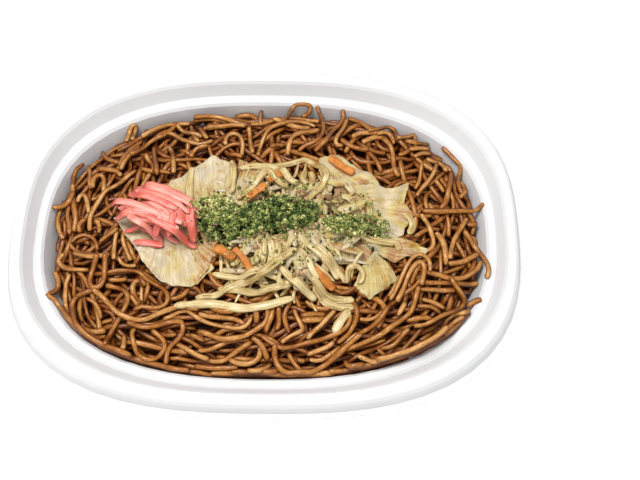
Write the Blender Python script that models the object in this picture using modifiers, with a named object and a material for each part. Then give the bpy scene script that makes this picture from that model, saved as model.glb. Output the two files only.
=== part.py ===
"""Yakisoba in its oval takeaway tray: fried noodles with cabbage, bean sprouts, carrot and red ginger.

Frame: metres, +X along the tray's long axis, +Y to its back, +Z up. The origin is on the table,
under the middle of the tray.
"""

import math

import bmesh
import bpy
from mathutils import Matrix, Vector

MM = 0.001

# The tray: its size over the outer lip, and its sheet.
TRAY_LENGTH = 240 * MM
TRAY_WIDTH = 180 * MM
TRAY_HEIGHT = 38 * MM
SHEET = 1.0 * MM
SIDES = 64  # straight sides that stand for each oval

# The rim, from the outside in: a thin lip, a skirt up to a flat band, a step down to a ledge.
LIP = 2.2 * MM
SKIRT_DRAFT = 1.4 * MM
SKIRT_HEIGHT = 4.5 * MM
ROUNDING = 1.2 * MM
STEP_DRAFT = 3.2 * MM
STEP_DEPTH = 7.0 * MM

# The rim is wider along the long sides than at the ends.
BAND_AT_END = 3.4 * MM
BAND_AT_SIDE = 4.5 * MM
LEDGE_AT_END = 1.8 * MM
LEDGE_AT_SIDE = 2.5 * MM

# The wall leans out, and its foot turns into a floor whose middle is raised off the table.
WALL_DRAFT = 8.8 * MM
FLOOR_ROUNDING = 3.5 * MM
FOOT_RING = 6.0 * MM
FLOOR_RAISE = 1.0 * MM

# The ovals are superellipses, squarer outside than inside.
OUTER_EXPONENT = 2.8
EXPONENT_DROP = 16.0  # per metre of inset

# The noodle heap.
GAP = 0.4 * MM  # between pieces that touch
HEAP_EDGE = 22 * MM  # its height where it meets the wall
HEAP_CROWN = 36 * MM
HEAP_LENGTH = 201 * MM
HEAP_WIDTH = 138 * MM
HEAP_SHOULDER = 4.2  # how flat its top is before it rounds off
HEAP_RINGS = (0.985, 0.95, 0.9, 0.82, 0.72, 0.6, 0.46, 0.3, 0.15)  # where its top bends

# The heap's unevenness: its height, and waves with their strength, their lengths along x and y in
# millimetres for each radian, and their phase. Under the toppings it is pressed nearly flat.
LUMP = 0.9 * MM
LUMP_WAVES = [(0.25, 9.5, 8.0, 1.1), (0.25, 9.5, -8.0, 1.1), (0.3, 5.5, -7.0, 0.6), (0.2, 14.0, 4.5, 1.57)]
PRESSED_HALF_LENGTH = 62 * MM
PRESSED_HALF_WIDTH = 33 * MM
PRESSED_SHARE = 0.8

# The bean sprouts, heaped over the middle of the noodles, and the red ginger on the left.
SPROUTS_CENTRE = (5 * MM, -1 * MM)
SPROUTS_SIZE = (70 * MM, 72 * MM)
SPROUTS_THICK = 4.6 * MM
SPROUTS_EDGE = 1.4 * MM
GINGER_CENTRE = (-49 * MM, 3.5 * MM)
GINGER_SIZE = (37 * MM, 25 * MM)
GINGER_THICK = 6.5 * MM
GINGER_EDGE = 2.0 * MM
GINGER_LIFT = 3.0 * MM  # over the leaves under it
MOUND_UNDER = (0.35, 0.7, 1.0)  # where the rings of a mound's underside and top lie
MOUND_OVER = (1.0, 0.9, 0.75, 0.55, 0.3)
MOUND_WAVES = [(0.06, 3, 0.7), (0.04, 5, 1.57)]  # its edge: strength, count around it, and phase

# A cabbage leaf, and a carrot strip.
LEAF = 1.1 * MM
LEAF_POINTS = 28
LEAF_RIPPLE = 1.4 * MM
LEAF_RINGS = (1.0, 0.72, 0.38)
LEAF_WAVE = (3.4, 5.1)  # millimetres for each radian along x and y
LEAF_MIDDLE = 0.4  # how much of the ripple is left in a leaf's middle
LEAF_BEHIND = 8 * MM
CARROT_THICK = 2.0 * MM
CARROT_BEVEL = 0.4 * MM
CARROT_SPANS = 4  # how finely the ground under a strip is felt

# Cabbage pieces: their corners seen from above, in millimetres, counter-clockwise, and how high
# their ripples are.
CABBAGE = {
    "cabbage_back_left": (
        [(-53, 19), (-46, 9), (-33, 10), (-18, 17), (-15, 30), (-17, 35), (-27, 38), (-37, 28)],
        1.2,
    ),
    "cabbage_front_left": (
        [
            (-71, 5), (-66, -3), (-60, -10), (-56, -17), (-51, -24), (-43, -29.5), (-35, -31.5),
            (-28, -29), (-25, -24), (-26, -16), (-30, -9), (-31, 4), (-50, 6),
        ],
        1.5,
    ),
    "cabbage_middle_back": (
        [(-12, 14), (-4, 12), (2, 20), (0, 29), (-6, 33), (-12, 34)],
        1.0,
    ),
    "cabbage_middle_right": (
        [(24, -2), (29, -13), (35, -19), (40, -18), (41.5, -12), (41, -5), (33, 1)],
        1.2,
    ),
    "cabbage_back_right": (
        [(24, 37), (25, 24), (36, 22.5), (52, 23), (46, 31), (39, 37), (29, 41)],
        1.0,
    ),
    "cabbage_right": (
        [(33, 20), (34, 4), (50, -3), (66, -2), (70, 8), (66, 16), (67, 25), (57, 21.5)],
        1.6,
    ),
    "cabbage_right_front": (
        [(43, -6), (45, -12), (58, -16), (70, -14), (75, -9), (70, -7), (58, -5)],
        0.8,
    ),
    "cabbage_front_right": (
        [(44, -15), (41, -24), (43, -31), (48, -34), (60, -25), (56, -18.5)],
        1.0,
    ),
}

# Carrot strips: the two ends in millimetres seen from above, and the width.
CARROTS = [
    ((-7, 11), (-1, 18), 3.4),
    ((1, 20), (8, 27), 3.8),
    ((30, 36), (40, 29), 4.2),
    ((-21, -14), (-15, -18), 3.6),
    ((-11, -18), (-5, -24), 3.4),
    ((23, -23), (31, -31), 3.6),
]

COLOURS = {
    "tray": ((0.93, 0.93, 0.92), 0.42),
    "noodles": ((0.33, 0.155, 0.05), 0.38),
    "bean_sprouts": ((0.76, 0.66, 0.40), 0.35),
    "ginger": ((0.86, 0.27, 0.25), 0.32),
    "cabbage": ((0.79, 0.74, 0.50), 0.35),
    "carrot": ((0.80, 0.26, 0.05), 0.40),
}


def material(name):
    """A Principled material with the colour and roughness listed for this food or sheet."""
    found = bpy.data.materials.get(name)
    if found:
        return found
    made = bpy.data.materials.new(name)
    made.use_nodes = True
    colour, roughness = COLOURS[name]
    shader = made.node_tree.nodes["Principled BSDF"]
    shader.inputs["Base Color"].default_value = (*colour, 1)
    shader.inputs["Roughness"].default_value = roughness
    shader.inputs["Metallic"].default_value = 0.0
    return made


def oval(half_length, half_width, exponent, height, sides=SIDES):
    """The points of a superellipse at one height, counter-clockwise from +X."""
    points = []
    for i in range(sides):
        angle = 2 * math.pi * i / sides
        c, s = math.cos(angle), math.sin(angle)
        reach = (abs(c) ** exponent + abs(s) ** exponent) ** (-1 / exponent)
        points.append(Vector((half_length * reach * c, half_width * reach * s, height)))
    return points


def tray_oval(end_inset, side_inset, height):
    """An oval of the tray, given how far it lies inside the outer lip at the ends and at the sides."""
    exponent = OUTER_EXPONENT - EXPONENT_DROP * end_inset
    return oval(TRAY_LENGTH / 2 - end_inset, TRAY_WIDTH / 2 - side_inset, exponent, height)


def rim_rows():
    """(end inset, side inset, height) of the rim's top face, from the lip in to the ledge's inner edge."""
    skirt_foot = TRAY_HEIGHT - SKIRT_HEIGHT
    skirt_top = LIP + SKIRT_DRAFT
    band = skirt_top + ROUNDING
    end, side = band + BAND_AT_END, band + BAND_AT_SIDE
    ledge_height = TRAY_HEIGHT - STEP_DEPTH
    step = ROUNDING + STEP_DRAFT
    return [
        (0, 0, skirt_foot),
        (LIP, LIP, skirt_foot),
        (skirt_top, skirt_top, TRAY_HEIGHT - ROUNDING),
        (band, band, TRAY_HEIGHT),
        (end, side, TRAY_HEIGHT),
        (end + ROUNDING, side + ROUNDING, TRAY_HEIGHT - ROUNDING),
        (end + step, side + step, ledge_height + ROUNDING / 2),
        (end + step + ROUNDING, side + step + ROUNDING, ledge_height),
        (end + step + ROUNDING + LEDGE_AT_END, side + step + ROUNDING + LEDGE_AT_SIDE, ledge_height),
    ]


def wall_rows():
    """(end inset, side inset, height) of the tray's inside, from under the ledge down to the foot ring."""
    end, side, ledge_height = rim_rows()[-1]
    top = (end + ROUNDING, side + ROUNDING, ledge_height - ROUNDING)
    foot = (top[0] + WALL_DRAFT, top[1] + WALL_DRAFT, SHEET + FLOOR_ROUNDING)
    floor = (foot[0] + FLOOR_ROUNDING, foot[1] + FLOOR_ROUNDING, SHEET)
    return [top, foot, floor]


def wall_at(height):
    """(end inset, side inset) of the tray's wall at a height between its top and its foot."""
    top, foot, _ = wall_rows()
    share = (top[2] - height) / (top[2] - foot[2])
    return tuple(a + (b - a) * share for a, b in zip(top[:2], foot[:2]))


def loft(rings, first=None, last=None):
    """A mesh of quads between closed rings of equally many points, with a fan to a middle point at
    either end where one is given."""
    mesh = bmesh.new()
    rows = [[mesh.verts.new(p) for p in ring] for ring in rings]
    for low, high in zip(rows, rows[1:]):
        for i in range(len(low)):
            j = (i + 1) % len(low)
            mesh.faces.new((low[i], low[j], high[j], high[i]))
    for row, middle, turn in ((rows[0], first, 1), (rows[-1], last, -1)):
        if middle is None:
            continue
        tip = mesh.verts.new(middle)
        for i in range(len(row)):
            a, b = row[i], row[(i + 1) % len(row)]
            mesh.faces.new((b, a, tip)[::turn])
    return mesh


def piece(name, mesh, look, collection, smooth=50):
    """A named object from a bmesh, shaded smooth apart from its sharp edges."""
    bmesh.ops.recalc_face_normals(mesh, faces=mesh.faces)
    data = bpy.data.meshes.new(name)
    mesh.to_mesh(data)
    mesh.free()
    data.materials.append(material(look))
    data.shade_smooth()
    data.set_sharp_from_angle(angle=math.radians(smooth))
    made = bpy.data.objects.new(name, data)
    collection.objects.link(made)
    return made


def make_tray(collection):
    """The tray's top face lofted from the lip in to the floor, then given its sheet thickness below."""
    rows = rim_rows() + wall_rows()
    end, side, _ = rows[-1]
    ring = (end + FOOT_RING, side + FOOT_RING, SHEET)
    panel = (ring[0] + ROUNDING, ring[1] + ROUNDING, SHEET + FLOOR_RAISE)
    rings = [tray_oval(*row) for row in rows + [ring, panel]]
    mesh = loft(rings, last=Vector((0, 0, SHEET + FLOOR_RAISE)))
    made = piece("tray", mesh, "tray", collection, 35)
    if made.data.polygons[-1].normal.z < 0:
        made.data.flip_normals()
    sheet = made.modifiers.new("Sheet", "SOLIDIFY")
    sheet.thickness = SHEET
    sheet.offset = -1
    sheet.use_even_offset = True
    return made


def heap_share(x, y):
    """How far out over the noodle heap a point lies: 0 in the middle, 1 at the wall."""
    n = OUTER_EXPONENT - EXPONENT_DROP * wall_rows()[0][0]
    return (abs(2 * x / HEAP_LENGTH) ** n + abs(2 * y / HEAP_WIDTH) ** n) ** (1 / n)


def lumps(x, y):
    """The heap's slow unevenness, between about -1 and 1."""
    u, v = x / MM, y / MM
    return sum(a * math.sin(u / along + v / across + phase) for a, along, across, phase in LUMP_WAVES)


def heap_top(x, y):
    """The height of the noodle heap's top over a point."""
    share = min(heap_share(x, y), 1)
    mound = (1 - share**HEAP_SHOULDER) ** 0.5
    pressed = math.exp(-((x / PRESSED_HALF_LENGTH) ** 4) - ((y / PRESSED_HALF_WIDTH) ** 4))
    uneven = LUMP * lumps(x, y) * (1 - PRESSED_SHARE * pressed)
    return HEAP_EDGE + (HEAP_CROWN - HEAP_EDGE + uneven) * mound


def make_noodles(collection):
    """One solid: the tray's inside up to the heap's edge, under the uneven mound."""
    floor_end, floor_side, _ = wall_rows()[-1]
    foot_end, foot_side, foot_height = wall_rows()[1]
    floor_height = SHEET + FLOOR_RAISE + GAP
    edge_end, edge_side = wall_at(HEAP_EDGE)
    rings = [
        tray_oval(floor_end + GAP, floor_side + GAP, floor_height),
        tray_oval(foot_end + GAP, foot_side + GAP, foot_height),
        tray_oval(edge_end + GAP, edge_side + GAP, HEAP_EDGE),
    ]
    edge = rings[-1]
    for share in HEAP_RINGS:
        rings.append([Vector((p.x * share, p.y * share, heap_top(p.x * share, p.y * share))) for p in edge])
    middle = Vector((0, 0, floor_height))
    return piece("noodles", loft(rings, middle, Vector((0, 0, heap_top(0, 0)))), "noodles", collection)


def wobble(angle):
    """How much further out than an oval a mound's edge lies in this direction."""
    return 1 + sum(a * math.sin(count * angle + phase) for a, count, phase in MOUND_WAVES)


def mound_share(x, y, centre, size):
    """How far out over a mound a point lies: 0 in the middle, 1 at its edge."""
    u, v = 2 * (x - centre[0]) / size[0], 2 * (y - centre[1]) / size[1]
    return math.hypot(u, v) / wobble(math.atan2(v, u))


def sprouts_height(x, y):
    """How far the bean sprouts stand above the noodles: rounded, then falling away outside their edge."""
    share = mound_share(x, y, SPROUTS_CENTRE, SPROUTS_SIZE)
    dome = SPROUTS_THICK * max(0, 1 - share**2.4)
    skirt = SPROUTS_EDGE * min(1, max(0, (1.35 - share) / 0.35))
    return dome + skirt


def support(x, y):
    """The height that a leaf or a strip lies at: on the noodles, or on the sprouts over them."""
    return heap_top(x, y) + GAP + sprouts_height(x, y) + GAP


def make_mound(name, look, centre, size, under, over, collection, sides=32):
    """A heap of small things as one solid between two height functions, inside a wobbly round edge."""
    rings = []
    levels = [(share, under) for share in MOUND_UNDER] + [(share, over) for share in MOUND_OVER]
    for share, height in levels:
        ring = []
        for i in range(sides):
            angle = 2 * math.pi * i / sides
            reach = share * wobble(angle)
            x = centre[0] + size[0] / 2 * reach * math.cos(angle)
            y = centre[1] + size[1] / 2 * reach * math.sin(angle)
            ring.append(Vector((x, y, height(x, y))))
        rings.append(ring)
    first = Vector((*centre, under(*centre)))
    last = Vector((*centre, over(*centre)))
    return piece(name, loft(rings, first, last), look, collection, 60)


def make_sprouts(collection):
    """The heap of bean sprouts: its underside follows the noodles."""

    def under(x, y):
        return heap_top(x, y) + GAP

    def over(x, y):
        return under(x, y) + sprouts_height(x, y)

    return make_mound(
        "bean_sprouts", "bean_sprouts", SPROUTS_CENTRE, SPROUTS_SIZE, under, over, collection, 36
    )


def make_ginger(collection):
    """The heap of red ginger: its underside clears the leaves that it lies on."""

    def under(x, y):
        return support(x, y) + GINGER_LIFT

    def over(x, y):
        share = mound_share(x, y, GINGER_CENTRE, GINGER_SIZE)
        return under(x, y) + GINGER_EDGE + GINGER_THICK * max(0, 1 - share**2) ** 0.8

    return make_mound("ginger", "ginger", GINGER_CENTRE, GINGER_SIZE, under, over, collection, 24)


def rounded_outline(corners, count):
    """Points spaced along a closed curve through the corners (Catmull-Rom)."""
    total = len(corners)
    found = []
    for k in range(count):
        place = k * total / count
        i, t = int(place), place - int(place)
        a, b, c, d = (Vector(corners[(i + n) % total]) for n in (-1, 0, 1, 2))
        square, cube = 2 * a - 5 * b + 4 * c - d, 3 * b - a - 3 * c + d
        found.append(0.5 * (2 * b + (c - a) * t + square * t**2 + cube * t**3))
    return found


def make_leaf(name, corners, ripple, collection):
    """A cabbage piece: a rippled sheet over what it lies on."""
    outline = [p * MM for p in rounded_outline(corners, LEAF_POINTS)]
    middle = sum(outline, Vector((0, 0))) / len(outline)

    def lie(p, share):
        wave = 1 + math.sin(p.x / MM / LEAF_WAVE[0] + p.y / MM / LEAF_WAVE[1])
        strength = LEAF_MIDDLE + (1 - LEAF_MIDDLE) * share
        return Vector((p.x, p.y, support(p.x, p.y) + ripple * MM / 2 * wave * strength))

    rings = [[lie(middle.lerp(p, share), share) for p in outline] for share in LEAF_RINGS]
    made = piece(name, loft(rings, last=lie(middle, 0)), "cabbage", collection)
    if made.data.polygons[-1].normal.z < 0:
        made.data.flip_normals()
    sheet = made.modifiers.new("Leaf", "SOLIDIFY")
    sheet.thickness = LEAF
    sheet.offset = 1
    return made


def leaf_cover(y):
    """How much a leaf adds under a carrot strip: the strips at the back lie on leaves."""
    return LEAF + LEAF_RIPPLE if y > LEAF_BEHIND else 0


def make_carrot(number, start, end, width, collection):
    """A strip of carrot: a bevelled box laid on what is under it, at that slope."""
    a, b = Vector(start) * MM, Vector(end) * MM
    along = b - a
    middle = (a + b) / 2
    steps = [t / CARROT_SPANS for t in range(CARROT_SPANS + 1)]
    heights = [support(*a.lerp(b, t)) for t in steps]
    rise = heights[-1] - heights[0]
    chord = [heights[0] + rise * t for t in steps]
    lift = max(h - c for h, c in zip(heights, chord)) + leaf_cover(middle.y)
    mesh = bmesh.new()
    bmesh.ops.create_cube(mesh, size=1)
    long_way = Vector((along.x, along.y, rise)).normalized()
    across = Vector((-along.y, along.x, 0)).normalized()
    turn = Matrix((long_way, across, long_way.cross(across))).transposed().to_4x4()
    size = Matrix.Diagonal((along.length, width * MM, CARROT_THICK, 1))
    bmesh.ops.transform(mesh, matrix=size, verts=mesh.verts)
    made = piece(f"carrot_{number}", mesh, "carrot", collection)
    height = (heights[0] + heights[-1]) / 2 + lift + CARROT_THICK / 2 + 2 * GAP
    made.matrix_world = Matrix.Translation((middle.x, middle.y, height)) @ turn
    edges = made.modifiers.new("Edges", "BEVEL")
    edges.width = CARROT_BEVEL
    edges.segments = 2
    return made


def main():
    for old in list(bpy.data.objects):
        bpy.data.objects.remove(old)
    collection = bpy.data.collections.new("Yakisoba")
    bpy.context.scene.collection.children.link(collection)
    make_tray(collection)
    make_noodles(collection)
    make_sprouts(collection)
    make_ginger(collection)
    for name, (corners, ripple) in CABBAGE.items():
        make_leaf(name, corners, ripple, collection)
    for number, (start, end, width) in enumerate(CARROTS, 1):
        make_carrot(number, start, end, width, collection)


main()
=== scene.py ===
"""Looks of the yakisoba in its oval takeaway tray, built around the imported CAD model."""

import math

import bmesh
import bpy
import numpy as np
from mathutils import Euler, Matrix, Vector, noise


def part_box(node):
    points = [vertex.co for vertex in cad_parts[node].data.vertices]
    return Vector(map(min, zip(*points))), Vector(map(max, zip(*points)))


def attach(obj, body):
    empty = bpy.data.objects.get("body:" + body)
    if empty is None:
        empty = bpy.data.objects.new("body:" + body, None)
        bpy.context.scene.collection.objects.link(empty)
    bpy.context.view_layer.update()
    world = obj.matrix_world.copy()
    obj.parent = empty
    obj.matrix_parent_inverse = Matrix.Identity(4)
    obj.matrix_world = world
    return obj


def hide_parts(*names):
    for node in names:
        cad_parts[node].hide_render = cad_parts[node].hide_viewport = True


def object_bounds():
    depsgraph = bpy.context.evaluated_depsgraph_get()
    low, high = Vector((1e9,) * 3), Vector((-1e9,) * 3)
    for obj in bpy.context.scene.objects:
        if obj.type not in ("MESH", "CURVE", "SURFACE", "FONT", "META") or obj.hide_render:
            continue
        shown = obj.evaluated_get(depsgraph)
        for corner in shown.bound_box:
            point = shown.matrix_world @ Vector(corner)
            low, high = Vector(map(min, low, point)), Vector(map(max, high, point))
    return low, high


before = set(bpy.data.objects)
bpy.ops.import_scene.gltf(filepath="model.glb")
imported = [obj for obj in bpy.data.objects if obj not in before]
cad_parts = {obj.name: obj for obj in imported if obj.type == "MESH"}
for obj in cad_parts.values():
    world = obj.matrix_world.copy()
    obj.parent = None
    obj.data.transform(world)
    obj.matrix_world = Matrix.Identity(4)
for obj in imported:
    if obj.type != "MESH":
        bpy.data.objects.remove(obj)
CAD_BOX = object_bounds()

MM = 0.001

# The view: from the front, well above the table, a little left of the tray's middle.
VIEW_ELEVATION = math.radians(64.0)
VIEW_AZIMUTH = math.radians(-0.66)
VIEW_DISTANCE = 434 * MM
VIEW_CENTRE = Vector((25.5, -7.4, 38.0)) * MM
LENS = 53.3
SENSOR = 36.0

# The relief that everything is laid on.
CELL = 0.5 * MM
MARGIN = 10 * MM

# The noodles.
STRAND = 1.2 * MM  # their radius
STEP = 1.0 * MM  # along a strand
EDGE_EXPONENT = 2.53
EDGE_SHARE = 0.985
CORE_DEPTH = 9.5 * MM  # how far the core's top lies under the heap's
CORE_SHARE = (0.975, 0.97)  # its length and width against the heap's
SINK = 0.45 * MM  # how far a strand presses into what it lies on
BATCH = 40  # strands tried in a round
KEPT = 8  # and kept, where the heap has most room
CURLS, CURL_ODDS = (0.035, 0.06, 0.11), (0.4, 0.35, 0.25)
REACH = (18, 80)  # steps from a strand's middle to its end
SPRING, WANDER = 0.09, 0.42  # how fast a bend dies out and how much it changes by chance
COMB, TURN_BACK = 0.02, 0.16  # how strongly strands follow the wall and turn away from it
TURN_FROM, TURN_OVER = 0.955, 0.03  # where they start to turn away, and over what share
FATNESS = (0.84, 1.1)  # their radius against STRAND
CAP = 0.35  # how far a tube's ends bulge, against its radius

# The noodles are laid in passes: how many rounds, from how far out, how straight along the wall, and
# how far they may stand above the heap's outline.
PASSES = [(150, 0.0, 0.0, 0.2 * MM), (26, 0.9, 1.0, 1.6 * MM)]
SEEN_LEVEL = 33 * MM
FRONT_SHARE = 1.008  # how far out noodles may climb the wall in front
RIM_SHARE = 1.05  # and elsewhere
SHADE_DEPTH = 4.0 * MM  # how deep under others a noodle's painted shade is darkest
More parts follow.
